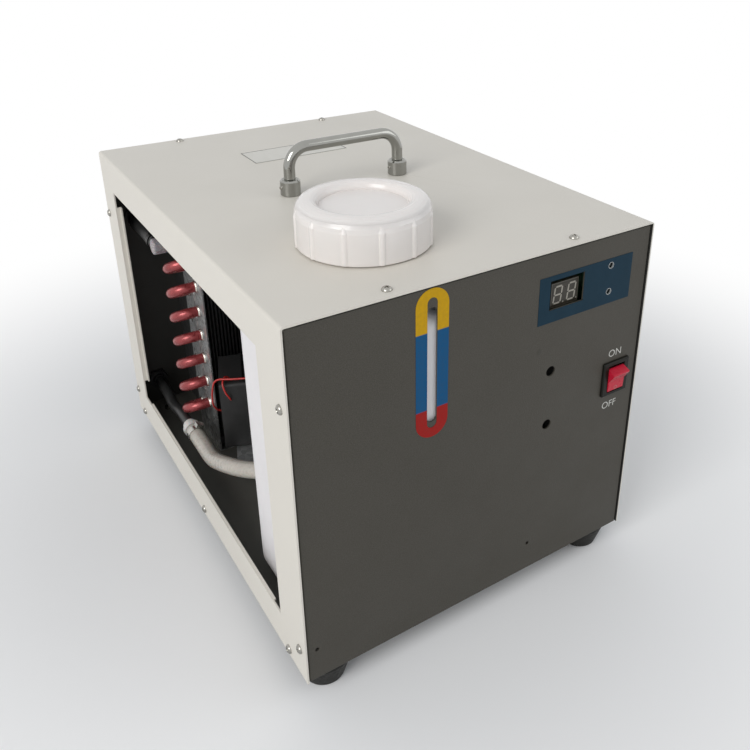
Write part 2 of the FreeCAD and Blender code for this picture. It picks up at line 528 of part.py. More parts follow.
nodes["board_parts"] = both([rounded(box(bx0 + 12, top, bz0 + 12, bx0 + 31, top + 15, bz0 + 27), 0.8, lambda e: True),
                             box(bx0 + 38, top, bz0 + 6, bx0 + 78, top + 10, bz0 + 14),
                             cyl(5.0, (bx0 + 44, top, bz0 + 26), (bx0 + 44, top + 16, bz0 + 26)),
                             cyl(5.0, (bx0 + 57, top, bz0 + 26), (bx0 + 57, top + 16, bz0 + 26)),
                             box(bx0 + 66, top, bz0 + 20, bx0 + 78, top + 4, bz0 + 32)])


# ---------------------------------------------------------------- rocker switch, stored off (lower half pressed in)
pin_y = PIN_Y
pit_w, pit_h = ROCKER_W + 2 * FIT, 2 * (math.hypot(ROCKER_LIP, ROCKER_H / 2) + FIT)


def make_housing():
    face = PY0 - BEZEL_T
    bezel = rounded(box(SX - BEZEL_W / 2, face, SZ - BEZEL_H / 2, SX + BEZEL_W / 2, PY0, SZ + BEZEL_H / 2), 1.2,
                    lambda e: abs(e.CenterOfMass.y - face) < 1e-6 or along(e, V(0, 1, 0)))
    bw, bh = BEZEL_W - 4 - 2 * FIT, BEZEL_H - 3.6 - 2 * FIT
    body = box(SX - bw / 2, PY0 - 0.5, SZ - bh / 2, SX + bw / 2, IY0 + SWITCH_DEPTH, SZ + bh / 2)
    pit = box(SX - pit_w / 2, face - 1, SZ - pit_h / 2, SX + pit_w / 2, pin_y + 9.0, SZ + pit_h / 2)
    lug = cyl(1.55, (SX - pit_w / 2 - 1.4, pin_y, SZ), (SX + pit_w / 2 + 1.4, pin_y, SZ))
    return take(join(bezel, body), pit, lug)


def make_rocker():
    """Side profile in Y and Z about the pin: two flat faces meeting in a shallow valley, round behind."""
    h, lip = ROCKER_H / 2, ROCKER_LIP
    valley = lip - 2.2
    pts = [(-lip, h - ROCKER_TIP), (-lip + ROCKER_TIP, h), (1.0, h), (4.6, h * 0.5), (5.2, 0), (4.6, -h * 0.5), (1.0, -h),
           (-lip + ROCKER_TIP, -h), (-lip, -h + ROCKER_TIP), (-valley, 0)]
    slab = poly([(SX - ROCKER_W / 2, pin_y + y, SZ + z) for y, z in pts]).extrude(V(ROCKER_W, 0, 0))
    pin = cyl(1.5, (SX - pit_w / 2 - 1.2, pin_y, SZ), (SX + pit_w / 2 + 1.2, pin_y, SZ))
    part = join(slab, pin)
    part.rotate(V(SX, pin_y, SZ), V(1, 0, 0), ROCKER_TILT)
    return part


nodes["switch_housing"] = make_housing()
nodes["switch_rocker"] = make_rocker()
back = IY0 + SWITCH_DEPTH
nodes["switch_terminals"] = both(box(SX + dx - 3.15, back, SZ + dz - 0.4, SX + dx + 3.15, back + 8, SZ + dz + 0.4)
                                 for dx in (-5.5, 5.5) for dz in (-7.0, 7.0))


# ---------------------------------------------------------------- condenser: fin pack, serpentine coil, end plates
def tube_at(k):
    """Row and height of tube k, counted from the top; even ones lie in the rear row."""
    y = CORE_Y + ROW_PITCH * (1.5 if k % 2 == 0 else 0.5)
    return y, COIL_TOP - k * TUBE_PITCH / 2


XL, XR = CORE_X - BEND_STUB, W - CORE_X + BEND_STUB
STUB_L, STUB_R = CORE_X - 18.0, W - CORE_X + 18.0
U_R = math.hypot(ROW_PITCH, TUBE_PITCH / 2) / 2


def make_coil():
    edges = []
    y, z = tube_at(0)
    here = V(STUB_L, y, z)
    for k in range(TUBES):
        y, z = tube_at(k)
        right = k % 2 == 0                                  # this tube runs to the right
        last = k == TUBES - 1
        end = V(STUB_R if last else (XR if right else XL), y, z)
        edges.append(Part.LineSegment(here, end).toShape())
        if not last:
            y2, z2 = tube_at(k + 1)
            nxt = V(end.x, y2, z2)
            mid = (end + nxt) * 0.5 + V(U_R if right else -U_R, 0, 0)
            edges.append(Part.Arc(end, mid, nxt).toShape())
            here = nxt
    wire = Part.Wire(edges)
    return sweep(wire, TUBE_R), wire.Length


nodes["condenser_coil"], coil_length = make_coil()
print("coil length %.0f" % coil_length)


def make_fins():
    x0, x1 = CORE_X + SHEET + FIT, W - CORE_X - SHEET - FIT
    n = int((x1 - x0 - FIN_T) / FIN_PITCH)
    pitch = (x1 - x0 - FIN_T) / n
    front, rear = [], []
    for i in range(n + 1):
        a = x0 + i * pitch
        front += [(a, CORE_Y), (a + FIN_T, CORE_Y)]
        rear += [(a, CORE_Y1), (a + FIN_T, CORE_Y1)]
        if i < n:
            front += [(a + FIN_T, CORE_Y + FIN_CUT), (a + pitch, CORE_Y + FIN_CUT)]
            rear += [(a + FIN_T, CORE_Y1 - FIN_CUT), (a + pitch, CORE_Y1 - FIN_CUT)]
    outline = [(x, y, CORE_Z0) for x, y in front] + [(x, y, CORE_Z0) for x, y in reversed(rear)]
    pack = poly(outline).extrude(V(0, 0, CORE_Z1 - CORE_Z0))
    bores = [cyl(TUBE_R + 0.2, (x0 - 1, *tube_at(k)), (x1 + 1, *tube_at(k))) for k in range(TUBES)]
    return take(pack, *bores)


nodes["condenser_fins"] = make_fins()


def make_end_plate(left):
    a = CORE_X if left else W - CORE_X - SHEET
    y0, y1 = CORE_Y - PLATE_LIP, CORE_Y1 + PLATE_LIP
    plate = box(a, y0, FLOOR, a + SHEET, y1, CORE_Z1)
    s = 1 if left else -1
    foot_x0, foot_x1 = (a, a + 14) if left else (a + SHEET - 14, a + SHEET)
    foot = box(foot_x0, y0, FLOOR, foot_x1, y1, FLOOR + SHEET)
    top_lip = box(foot_x0, y0, CORE_Z1 + FIT - SHEET + SHEET, foot_x1, y1, CORE_Z1 + FIT + SHEET)
    rise = box(a, y0, CORE_Z1 - 1, a + SHEET, y1, CORE_Z1 + FIT + SHEET)
    out = -COLLAR if left else SHEET + COLLAR
    mid = (y0 + y1) / 2
    crease = box(min(a, a + out), mid - 1, FLOOR + SHEET, max(a + SHEET, a + out), mid + 1, CORE_Z1)   # stiffening fold between the rows
    collars = [cyl(TUBE_R + 1.2, (a + (SHEET if left else 0), *tube_at(k)), (a + out, *tube_at(k))) for k in range(TUBES)]
    holes = [cyl(TUBE_R + 0.3, (a - 3, *tube_at(k)), (a + SHEET + 3, *tube_at(k))) for k in range(TUBES)]
    return take(join(plate, foot, top_lip, rise, crease, *collars), *holes)


nodes["end_plate_left"] = make_end_plate(True)
nodes["end_plate_right"] = make_end_plate(False)

EL_R = 7.4
elbow_y, elbow_z = tube_at(0)
elbow2_y, elbow2_z = tube_at(TUBES - 1)


def make_elbow(side, y, z, tail_dir):
    """Push-on elbow over a coil stub; its hose tail leaves along the Y direction."""
    s = -1 if side == "left" else 1
    seat = (STUB_L if side == "left" else STUB_R)
    inner = seat - s * 10.0
    outer = seat + s * 10.0
    xt = SIDE_X if side == "left" else OTHER_X
    body = join(cyl(EL_R, (inner, y, z), (outer, y, z)))
    rim = [e for e in body.Edges if abs(e.CenterOfMass.x - outer) < 1e-6 and e.Length > 10]
    body = body.makeFillet(2.0, rim)
    rings = [cyl(EL_R + 1.0, (inner, y, z), (inner - s * -3.0, y, z))]
    tail_solid = revolve(barb(EL_R + 16.0, root=HOSE_BORE + 0.1, tip=HOSE_BORE, flange=HOSE_BORE - 0.3)[2:-1] +
                         [(0, EL_R + 16.0), (0, 0)], (xt, y, z), tail_dir)
    bore = cyl(TUBE_R + 0.15, (inner - s * 1, y, z), (seat + s * FIT, y, z))
    return take(join(body, tail_solid, *rings), bore)


nodes["coil_elbows"] = both([make_elbow("left", elbow_y, elbow_z, "y"), make_elbow("right", elbow2_y, elbow2_z, "-y")])

# ---------------------------------------------------------------- fan, shroud and finger guard
FY0, FY1 = IY1 - FIT - FAN_DEPTH, IY1 - FIT
ring_in = FAN_R - FAN_RING


def make_shroud():
    x0, x1 = CORE_X + SHEET + FIT, W - CORE_X - SHEET - FIT
    y0, y1 = CORE_Y1 + FIT, FY0 - FIT
    outer = box(x0, y0, CORE_Z0, x1, y1, CORE_Z1)
    inner = box(x0 + SHEET, y0 - 1, CORE_Z0 + SHEET, x1 - SHEET, y1 - SHEET, CORE_Z1 - SHEET)
    return take(outer, inner, cyl(ring_in, (FAN_X, y0 - 1, FAN_Z), (FAN_X, y1 + 1, FAN_Z)))


nodes["fan_shroud"] = make_shroud()


def make_fan_frame():
    ring = take(cyl(FAN_R, (FAN_X, FY0, FAN_Z), (FAN_X, FY1, FAN_Z)), cyl(ring_in, (FAN_X, FY0 - 1, FAN_Z), (FAN_X, FY1 + 1, FAN_Z)))
    bits = []
    for x, z in LUGS:
        for ya, yb in ((FY1 - 5, FY1), (FY0, FY0 + 5)):
            bits.append(cyl(7.0, (x, ya, z), (x, yb, z)))
    for i in range(4):
        a = math.pi / 4 + i * math.pi / 2
        arm = box(FAN_HUB_R - 3, FY1 - 6, -3, ring_in + 1, FY1, 3)
        arm.rotate(V(0, 0, 0), V(0, 1, 0), math.degrees(a))
        arm.translate(V(FAN_X, 0, FAN_Z))
        bits.append(arm)
    bits.append(cyl(FAN_HUB_R - 1, (FAN_X, FY1 - 8, FAN_Z), (FAN_X, FY1, FAN_Z)))
    bits.append(cyl(FAN_SHAFT_R, (FAN_X, FY0 + 14, FAN_Z), (FAN_X, FY1 - 2, FAN_Z)))
    holes = [cyl(2.2, (x, FY0 - 1, z), (x, FY1 + 1, z)) for x, z in LUGS]
    swept = cyl(ring_in - 0.2, (FAN_X, FY0 - 1, FAN_Z), (FAN_X, FY1 - 8.5, FAN_Z))
    solid = join(ring, *bits)
    keep_shaft = cyl(FAN_SHAFT_R, (FAN_X, FY0 + 14, FAN_Z), (FAN_X, FY1 - 2, FAN_Z))
    return join(take(solid, swept, *holes), keep_shaft)


nodes["fan_frame"] = make_fan_frame()
RY0, RY1 = FY0 + 7.0, FY1 - 9.0                             # rotor, front and rear


def make_rotor():
    hub = rounded(cyl(FAN_HUB_R, (FAN_X, RY0, FAN_Z), (FAN_X, RY1, FAN_Z)), 3.0,
                  lambda e: abs(e.CenterOfMass.y - RY0) < 1e-6)
    cup = cyl(FAN_HUB_R - 4, (FAN_X, RY1 - 6, FAN_Z), (FAN_X, RY1 + 1, FAN_Z))
    blades = []
    ym = (RY0 + RY1) / 2
    for n in range(FAN_BLADES):
        wires = []
        for r, chord, tilt in ((FAN_HUB_R - 2.5, 27.0, 48.0), ((FAN_HUB_R + ring_in) / 2, 36.0, 60.0),
                               (ring_in - FAN_TIP_GAP, 44.0, 68.0)):
            t = math.radians(tilt)
            u = (math.sin(t), math.cos(t))                  # chord direction: tangential, axial
            v = (-u[1], u[0])
            pts = []
            for a, b in ((-0.5, -0.7), (0, 2.4 - 0.9), (0.5, -0.5), (0.5, 0.5), (0, 2.4 + 0.9), (-0.5, 0.7)):
                tx = u[0] * a * chord + v[0] * b
                ty = u[1] * a * chord + v[1] * b
                pts.append(V(FAN_X + tx, ym + ty, FAN_Z + r))
            wires.append(Part.makePolygon(pts + [pts[0]]))
        blade = Part.makeLoft(wires, True, True)
        blade.rotate(V(FAN_X, ym, FAN_Z), V(0, 1, 0), n * 360.0 / FAN_BLADES)
        blades.append(blade)
    trim = take(cyl(ring_in + 40, (FAN_X, RY0, FAN_Z), (FAN_X, RY1, FAN_Z)),
                cyl(ring_in - FAN_TIP_GAP, (FAN_X, RY0 - 1, FAN_Z), (FAN_X, RY1 + 1, FAN_Z)))
    rotor = join(take(hub, cup), cyl(9.0, (FAN_X, RY0 + 2, FAN_Z), (FAN_X, RY1 - 1, FAN_Z)), *blades)
    below = cyl(ring_in + 40, (FAN_X, RY0 - 30, FAN_Z), (FAN_X, RY0, FAN_Z))
    above = cyl(ring_in + 40, (FAN_X, RY1, FAN_Z), (FAN_X, RY1 + 30, FAN_Z))
    bore = cyl(FAN_SHAFT_R + FAN_RUN, (FAN_X, FY0 + 14 - FIT, FAN_Z), (FAN_X, RY1 + 5, FAN_Z))
    return take(rotor, trim, below, above, bore)


nodes["fan_rotor"] = make_rotor()


def make_guard():
    y = PY1 + GUARD_WIRE
    g = GUARD_WIRE
    rings = [revolve([(r - g, -g), (r + g, -g), (r + g, g), (r - g, g)], (FAN_X, y, FAN_Z), "y") for r in (20, 35, 50, 65, 80)]
    spokes = []
    for i in range(4):
        a = math.pi / 4 + i * math.pi / 2
        c, s = math.cos(a), math.sin(a)
        ra, rb = 19.0, FAN_R + 0.8
        spokes.append(cyl(GUARD_WIRE, (FAN_X + c * ra, y + 1.2 * GUARD_WIRE, FAN_Z + s * ra),
                          (FAN_X + c * rb, y + 0.6 * GUARD_WIRE, FAN_Z + s * rb)))
        x, z = FAN_X + c * (FAN_R + 5), FAN_Z + s * (FAN_R + 5)
        spokes.append(take(cyl(4.6, (x, PY1, z), (x, PY1 + 2 * GUARD_WIRE, z)), cyl(2.3, (x, PY1 - 1, z), (x, PY1 + 5, z))))
    return join(rings[0], *rings[1:], *spokes)


nodes["fan_guard"] = make_guard()
nodes["fan_screws"] = both(screw((x, PY1 + 2 * GUARD_WIRE, z), (0, 1, 0), length=SHEET + 2 * GUARD_WIRE + FIT + 6.0, r=2.0,
                                 head=4.0, rise=2.4) for x, z in LUGS)

# ---------------------------------------------------------------- pump on its shelf, turned a little from square
turn = FreeCAD.Placement(V(PUMP_X, PUMP_Y, 0), FreeCAD.Rotation(V(0, 0, 1), PUMP_TURN))


def turned(shape):
    shape.Placement = turn.multiply(shape.Placement)
    return shape


def at_pump(u, v, z):
    p = turn.multVec(V(u, v, z))
    return (p.x, p.y, p.z)


P0, P1 = SHELF_Z, SHELF_Z + PUMP_H
pump_mid_v, pump_mid_z = PUMP_W / 2, SHELF_Z + HEAD_R + 5.0
HEAD_END = PUMP_L + HEAD_L


def make_motor():
    body = rounded(box(0, 0, P0, PUMP_L, PUMP_W, P1), 3.0, lambda e: along(e, V(1, 0, 0)))
    ribs = [box(PUMP_L * 0.25 + i * 12.0, 4, P1 - 1, PUMP_L * 0.25 + i * 12.0 + 2.0, PUMP_W - 4, P1 + 2.0) for i in range(4)]
    return turned(join(body, *ribs))


def make_head():
    u0, u1 = PUMP_L + FIT, HEAD_END
    vol = cyl(HEAD_R, (u0, pump_mid_v, pump_mid_z), (u1, pump_mid_v, pump_mid_z))
    vol = rounded(vol, 3.0, lambda e: abs(e.CenterOfMass.x - u1) < 1e-6)
    eye = revolve(barb(20.0, root=HOSE_BORE + 0.1, tip=HOSE_BORE)[2:-1] + [(0, 20.0), (0, -2)], (u1, pump_mid_v, pump_mid_z), "x")
    up = revolve(barb(20.0, root=HOSE_BORE + 0.1, tip=HOSE_BORE)[2:-1] + [(0, 20.0), (0, -14)],
                 ((u0 + u1) / 2, pump_mid_v + HEAD_R - 8.0, pump_mid_z + HEAD_R))
    neck_block = cyl(7.5, ((u0 + u1) / 2, pump_mid_v + HEAD_R - 8.0, pump_mid_z), ((u0 + u1) / 2, pump_mid_v + HEAD_R - 8.0, pump_mid_z + HEAD_R + 1))
    return turned(join(vol, eye, up, neck_block))


def make_shelf():
    z1, z0 = SHELF_Z, SHELF_Z - SHELF_T
    top_plate = box(SHELF_IN, -SHELF_OUT, z0, PUMP_L - 4, PUMP_W, z1)
    leg_rear = box(SHELF_IN, PUMP_W - SHELF_T, FLOOR, PUMP_L - 4, PUMP_W, z1)
    leg_side = box(PUMP_L - 4 - SHELF_T, -SHELF_OUT + 20, FLOOR, PUMP_L - 4, PUMP_W, z1)
    toe = box(SHELF_IN, PUMP_W - 14, FLOOR, PUMP_L - 4, PUMP_W, FLOOR + SHELF_T)
    return turned(join(top_plate, leg_rear, leg_side, toe))


nodes["pump_motor"] = make_motor()
nodes["pump_head"] = make_head()
nodes["pump_shelf"] = make_shelf()

# ---------------------------------------------------------------- spigots on the rear panel


def spigot(x, z, inner_reach, r_bore):
    """Bulkhead hose fitting: barb inside, nut inside, flange and barb outside."""
    way = min(BARB_BORE, r_bore - 1.6)
    i = [(way, -inner_reach), (r_bore - 0.7, -inner_reach), (r_bore - 0.1, -inner_reach + 6), (r_bore - 0.7, -inner_reach + 6),
         (r_bore - 0.7, -9), (6.0, -9), (6.0, SHEET), (9.5, SHEET), (9.5, SHEET + 3.0), (4.6, SHEET + 3.0), (4.6, 12),
         (5.2, 12), (4.4, 18), (5.2, 18), (4.2, SPIGOT_OUT + SHEET), (way, SPIGOT_OUT + SHEET)]
    return revolve(i, (x, IY1, z), "y")


def lock_nut(x, z):
    prism = nut(0, 0, 0, 5.0, scale=9.0 / 3.5, bore=6.2)
    prism.rotate(V(0, 0, 0), V(1, 0, 0), 90)                # now 0 to -5 in Y
    prism.translate(V(x, IY1 - FIT, z))
    return prism


nodes["inlet_spigot"] = spigot(*SPIGOTS["inlet"], 24.0, HOSE_BORE)
nodes["outlet_spigot"] = spigot(*SPIGOTS["outlet"], 24.0, HOSE_BORE)
nodes["drain_spigot"] = spigot(*SPIGOTS["drain"], 22.0, THIN_BORE)
nodes["spigot_nuts"] = both(lock_nut(x, z) for x, z in SPIGOTS.values())

# ---------------------------------------------------------------- hoses
rear_tail = IY1 - 9.5                                        # where a hose ends on a spigot
tank_tail = TY1 + FIT + 3.0                                  # where a hose ends on a tank spout
COUPLING = (SIDE_X - 1.0, D - 115.0, 33.0)
cx, cy, cz = COUPLING


def between(t):
    """Depth at a share t of the way from the tank's spouts to the fins."""
    return tank_tail + t * (CORE_Y - tank_tail)


nodes["drain_hose"] = hose("drain_hose", [(DRAIN_X, tank_tail, DRAIN_Z), (DRAIN_X, tank_tail + 26, DRAIN_Z),
                                          (DRAIN_X - 10, tank_tail + 45, DRAIN_Z - 7), (cx + 1, cy - 82, 44.5), (cx - 0.5, cy - 57, 34),
                                          (cx, cy - 35, cz), (cx, cy - 4, cz)],
                           HOSE_R, HOSE_BORE, 17.0, 18.0)
nodes["drain_tube"] = hose("drain_tube", [(cx, cy + 8, cz), (cx, cy + 32, cz), (cx, cy + 58, 26), (SIDE_X, cy + 79, REAR_DRAIN_Z),
                                          (SIDE_X, rear_tail, REAR_DRAIN_Z)], THIN_R, THIN_BORE, 15.0, 13.0)


def make_coupling():
    x, y, z = COUPLING
    c = (x, y, z)
    return revolve([(0, -18), (HOSE_BORE - 0.9, -18), (HOSE_BORE - 0.3, -15), (HOSE_BORE - 0.3, -3.5), (HOSE_R + 0.9, -3.5),
                    (HOSE_R + 0.9, 2), (HOSE_R - 1, 4), (HOSE_R - 1, 7.5), (THIN_BORE - 0.3, 7.5), (THIN_BORE - 0.3, 18),
                    (THIN_BORE - 0.8, 21), (0, 21)], c, "y")


nodes["inlet_hose"] = hose("inlet_hose", [(SIDE_X, elbow_y + EL_R + 0.6, elbow_z), (SIDE_X, rear_tail, COIL_TOP)], HOSE_R, HOSE_BORE, 18.0, 18.0)
eye = at_pump(HEAD_END + 3.0, pump_mid_v, pump_mid_z)
eye_out = at_pump(HEAD_END + 34.0, pump_mid_v, pump_mid_z)
nodes["suction_hose"] = hose("suction_hose", [(SUCTION_X, tank_tail, SUCTION_Z), (SUCTION_X, between(0.154), SUCTION_Z), eye_out, eye],
                             HOSE_R, HOSE_BORE, 14.0, 14.0)
up0 = at_pump((PUMP_L + FIT + HEAD_END) / 2, pump_mid_v + HEAD_R - 8.0, pump_mid_z + HEAD_R + 3.0)
nodes["outlet_hose"] = hose("outlet_hose", [up0, (up0[0], up0[1], up0[2] + 52), (up0[0] + 5, up0[1] - 2, REAR_OUT_Z - 26),
                                            (up0[0] + 38, up0[1] - 6, REAR_OUT_Z), (OTHER_X - 54, up0[1], REAR_OUT_Z + 4),
                                            (OTHER_X - 12, up0[1] + 22, REAR_OUT_Z + 3), (OTHER_X, up0[1] + 66, REAR_OUT_Z + 1),
                                            (OTHER_X, up0[1] + 108, REAR_OUT_Z + 0.3), (OTHER_X, rear_tail, REAR_OUT_Z)],
                            HOSE_R, HOSE_BORE, 18.0, 18.0)
nodes["return_hose"] = hose("return_hose", [(OTHER_X, elbow2_y - EL_R - 0.6, elbow2_z), (OTHER_X, between(0.973), elbow2_z),
                                            (OTHER_X - 4, between(0.746), 56), (OTHER_X - 26, between(0.572), 84),
                                            (OTHER_X - 62, between(0.46), 120), (RETURN_X + 20, between(0.345), 146),
                                            (RETURN_X, between(0.205), RETURN_Z), (RETURN_X, tank_tail, RETURN_Z)],
                            HOSE_R, HOSE_BORE, 18.0, 18.0)
nodes["hose_coupling"] = make_coupling()


def clamp(p, d, r, roll=0.0):
    """Worm-drive band: a thin ring with a lug, turned by roll about the hose."""
    p, d = V(*p), V(*d)
    ring = Part.makeCylinder(r + 0.9, 6.0, p - d * 3.0, d).cut(Part.makeCylinder(r + 0.1, 8.0, p - d * 4.0, d))
    lug = box(-3.5, -3.0, r + 0.5, 3.5, 3.0, r + 4.2)
    spin = FreeCAD.Rotation(V(0, 1, 0), d).multiply(FreeCAD.Rotation(V(0, 1, 0), roll))
    lug.Placement = FreeCAD.Placement(p, spin)
    return join(ring, lug)


pd = turn.Rotation.multVec(V(1, 0, 0))
nodes["hose_clamps"] = both([clamp((x, tank_tail + 7, z), (0, 1, 0), HOSE_R) for x, z in SPOUTS[1:]] +
                            [clamp((DRAIN_X, tank_tail + 7, DRAIN_Z), (0, 1, 0), HOSE_R),
                             clamp((cx, cy - 11, cz), (0, 1, 0), HOSE_R, 25.0),
                             clamp((SIDE_X, elbow_y + EL_R + 7, elbow_z), (0, 1, 0), HOSE_R),
                             clamp((OTHER_X, elbow2_y - EL_R - 7, elbow2_z), (0, -1, 0), HOSE_R, 90.0),
                             clamp((SIDE_X, rear_tail - 7, COIL_TOP), (0, 1, 0), HOSE_R),
                             clamp((OTHER_X, rear_tail - 7, REAR_OUT_Z), (0, 1, 0), HOSE_R),
                             clamp(at_pump(HEAD_END + 9.0, pump_mid_v, pump_mid_z), (pd.x, pd.y, pd.z), HOSE_R)])


# ---------------------------------------------------------------- pump leads, thin insulated wires held at both ends
LEAD_R = 0.8


def lead(points):
    wire, _ = route(points)
    return sweep(wire, LEAD_R)


lug_a, lug_b = at_pump(-0.6, 15.0, SHELF_Z + 31.0), at_pump(9.0, -0.6, SHELF_Z + 51.0)
over = SHELF_Z + PUMP_H + 4.0
long_lead = [lug_a, at_pump(-3.6, 13.5, SHELF_Z + 33.0), at_pump(-7.0, 9.0, SHELF_Z + 41.0), at_pump(-6.6, 7.0, SHELF_Z + 55.0),
             at_pump(-3.0, 4.0, over + 0.5), at_pump(10.0, -1.0, over + 1.5), at_pump(30.0, -6.0, over + 3.5),
             (96.0, between(0.399), over + 4.0), (140.0, between(0.252), over - 6.0), (178.0, between(0.145), over - 30.0), (199.0, 134.0, 66.0),
             (212.0, 104.0, 50.0), (216.0, 76.0, 42.0), (217.0, 66.0, 32.0), (217.0, 64.0, 20.8)]
short_lead = [lug_b, at_pump(9.0, -3.4, SHELF_Z + 53.0), at_pump(5.0, -4.5, SHELF_Z + 61.0), at_pump(3.0, -1.5, over - 0.6),
              at_pump(6.0, 7.0, over + 0.4), at_pump(9.0, 9.0, SHELF_Z + PUMP_H + 1.0)]
nodes["pump_leads"] = both([lead(long_lead), lead(short_lead)])

# ---------------------------------------------------------------- power
ix0, ix1 = OTHER_X - INLET_H / 2 + FIT, OTHER_X + INLET_H / 2 - FIT
iz0, iz1 = INLET_Z - INLET_W / 2 + FIT, INLET_Z + INLET_W / 2 - FIT


def make_inlet():
    plate = rounded(box(OTHER_X - 14, PY1, INLET_Z - 25, OTHER_X + 14, PY1 + 2.5, INLET_Z + 25), 3.0, lambda e: along(e, V(0, 1, 0)))
    body = box(ix0, IY1 - 20, iz0, ix1, PY1 + 1, iz1)
    pit = box(ix0 + 2.2, PY1 - 15, iz0 + 2.2, ix1 - 2.2, PY1 + 5, iz1 - 2.2)
    pins = [box(OTHER_X - 1 + ox, PY1 - 16, INLET_Z + oz - 2, OTHER_X + 1 + ox, PY1 - 7, INLET_Z + oz + 2)
            for ox, oz in ((-3, -7), (-3, 7), (3, 0))]
    holes = [cyl(1.8, (OTHER_X, PY1 - 5, INLET_Z + s * 20), (OTHER_X, PY1 + 5, INLET_Z + s * 20)) for s in (-1, 1)]
    return join(take(join(plate, body), pit, *holes), *pins)


nodes["power_inlet"] = make_inlet()
psx1 = PX1 - SHEET - 2.0
psx0 = psx1 - PSU_W


def make_psu():
    can = box(psx0, PSU_Y + 18, FLOOR, psx1, PSU_Y + PSU_L, FLOOR + PSU_H)
    tray = box(psx0, PSU_Y, FLOOR, psx1, PSU_Y + 20, FLOOR + 1.5)
    return join(can, tray)


nodes["power_supply"] = make_psu()
strip = box(psx0 + 10, PSU_Y + 3, FLOOR + 1.5, psx1 - 10, PSU_Y + 18, FLOOR + 15)
walls = [box(psx0 + 13 + i * 9.6, PSU_Y, FLOOR + 8, psx0 + 13 + i * 9.6 + 7.6, PSU_Y + 13, FLOOR + 20) for i in range(8)]
nodes["supply_terminals"] = take(strip, *walls)

# ---------------------------------------------------------------- out
os.makedirs("parts", exist_ok=True)
for name, shape in nodes.items():
    shape = shape.copy()
    shape.translate(SHIFT)
    if not shape.isValid():
        print("NOT VALID", name)
    if not shape.Solids:
        print("NO SOLID", name)
    shape.exportStep("parts/%s.step" % name)
print(len(nodes), "nodes, shift", SHIFT)
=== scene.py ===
# %% [markdown]
# # A bench-top water chiller: dressing the imported model
#
# The solids come from the frame: casing, panels, tank, cap, coil, fan, hoses and switch, at real size and
# in place. This script adds what a solid model leaves out: paint, plating, print, screw recesses, solder
# and light. A solid's own mesh is never changed. Where one needs more detail, or a guide in another place,
# a new piece stands for it, and the solid is hidden.
#
# The recipe, in order: load the frame, write helpers that speak in casing millimetres, make the finishes,
# hang them on the solids, add the small pieces, then floor, lights and camera.

# %% Load the frame
import bmesh, bpy, json, math
from mathutils import Matrix, Vector


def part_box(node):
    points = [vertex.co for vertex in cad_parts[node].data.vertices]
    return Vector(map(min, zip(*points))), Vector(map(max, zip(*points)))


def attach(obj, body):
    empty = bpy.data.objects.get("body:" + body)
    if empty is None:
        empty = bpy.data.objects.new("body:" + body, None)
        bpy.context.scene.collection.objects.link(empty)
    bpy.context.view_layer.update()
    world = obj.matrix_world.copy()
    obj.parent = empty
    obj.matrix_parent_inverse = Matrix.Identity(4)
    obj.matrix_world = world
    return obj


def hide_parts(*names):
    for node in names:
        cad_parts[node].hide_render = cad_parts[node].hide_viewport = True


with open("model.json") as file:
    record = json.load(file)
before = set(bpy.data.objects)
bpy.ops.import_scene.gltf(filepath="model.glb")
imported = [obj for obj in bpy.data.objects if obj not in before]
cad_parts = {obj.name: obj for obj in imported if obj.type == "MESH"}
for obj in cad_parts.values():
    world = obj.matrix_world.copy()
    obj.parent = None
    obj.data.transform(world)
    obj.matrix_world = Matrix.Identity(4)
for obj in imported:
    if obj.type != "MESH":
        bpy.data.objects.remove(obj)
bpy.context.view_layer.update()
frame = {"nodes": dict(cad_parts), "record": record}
nodes = frame["nodes"]
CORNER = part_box("cover")[0]                            # casing origin: left wall, front edge, underside
# points closer than this are one, in millimetres and in metres
MERGE_MM, MERGE_M = 1e-4, 1e-7


def at(x, y, z):
    """Casing millimetres to metres in the shared frame."""
    return CORNER + Vector((x, y, z)) / 1000


def box_mm(node):
    """A node's box in casing millimetres, so that new pieces sit on what the solids really are."""
    lo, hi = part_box(node)
    return (lo - CORNER) * 1000, (hi - CORNER) * 1000


print("solids in the frame:", len(nodes))


# %% [markdown]
# ## Turned and raised shapes
#
# Screw heads, rims and solder fillets are round, so they could be stacked from cylinders or made as one
# revolved profile. `turned` takes the second way: a few points on one side of the axis, spun once round +Z
# by the spin operator. Flat things such as a digit's bar are one face that the extrude operator raises.
# `aim` says where a shape goes and which way its +Z looks.

# %% Turned and raised shapes
def aim(point, direction=(0, 0, 1), roll=0.0):
    """A place whose +Z looks along direction, and whose +Y stays upright where it can, for print."""
    z = Vector(direction).normalized()
    x = Vector((1, 0, 0)) if abs(z.z) > 0.99 else Vector((0, 0, 1)).cross(z).normalized()
    turn = Matrix((x, z.cross(x), z)).transposed().to_4x4()
    return Matrix.Translation(Vector(point)) @ turn @ Matrix.Rotation(math.radians(roll), 4, "Z")


def turned(profile, steps=28):
    """A profile of (radius, height) pairs in millimetres, spun once round +Z."""
    bm = bmesh.new()
    line = [bm.verts.new((r, 0, h)) for r, h in profile]
    edges = [bm.edges.new(pair) for pair in zip(line, line[1:])]
    bmesh.ops.spin(bm, geom=line + edges, cent=(0, 0, 0), axis=(0, 0, 1), angle=math.tau, steps=steps,
                   use_merge=True)
    bmesh.ops.remove_doubles(bm, verts=bm.verts, dist=MERGE_MM)      # closes the poles and a closed profile
    return bm


def raised(bm, faces, height):
    """Extrudes flat faces upwards by height, and keeps them as the underside."""
    top = bmesh.ops.extrude_face_region(bm, geom=faces, use_keep_orig=True)
    bmesh.ops.translate(bm, vec=(0, 0, height),
                        verts=[v for v in top["geom"] if isinstance(v, bmesh.types.BMVert)])
    return bm


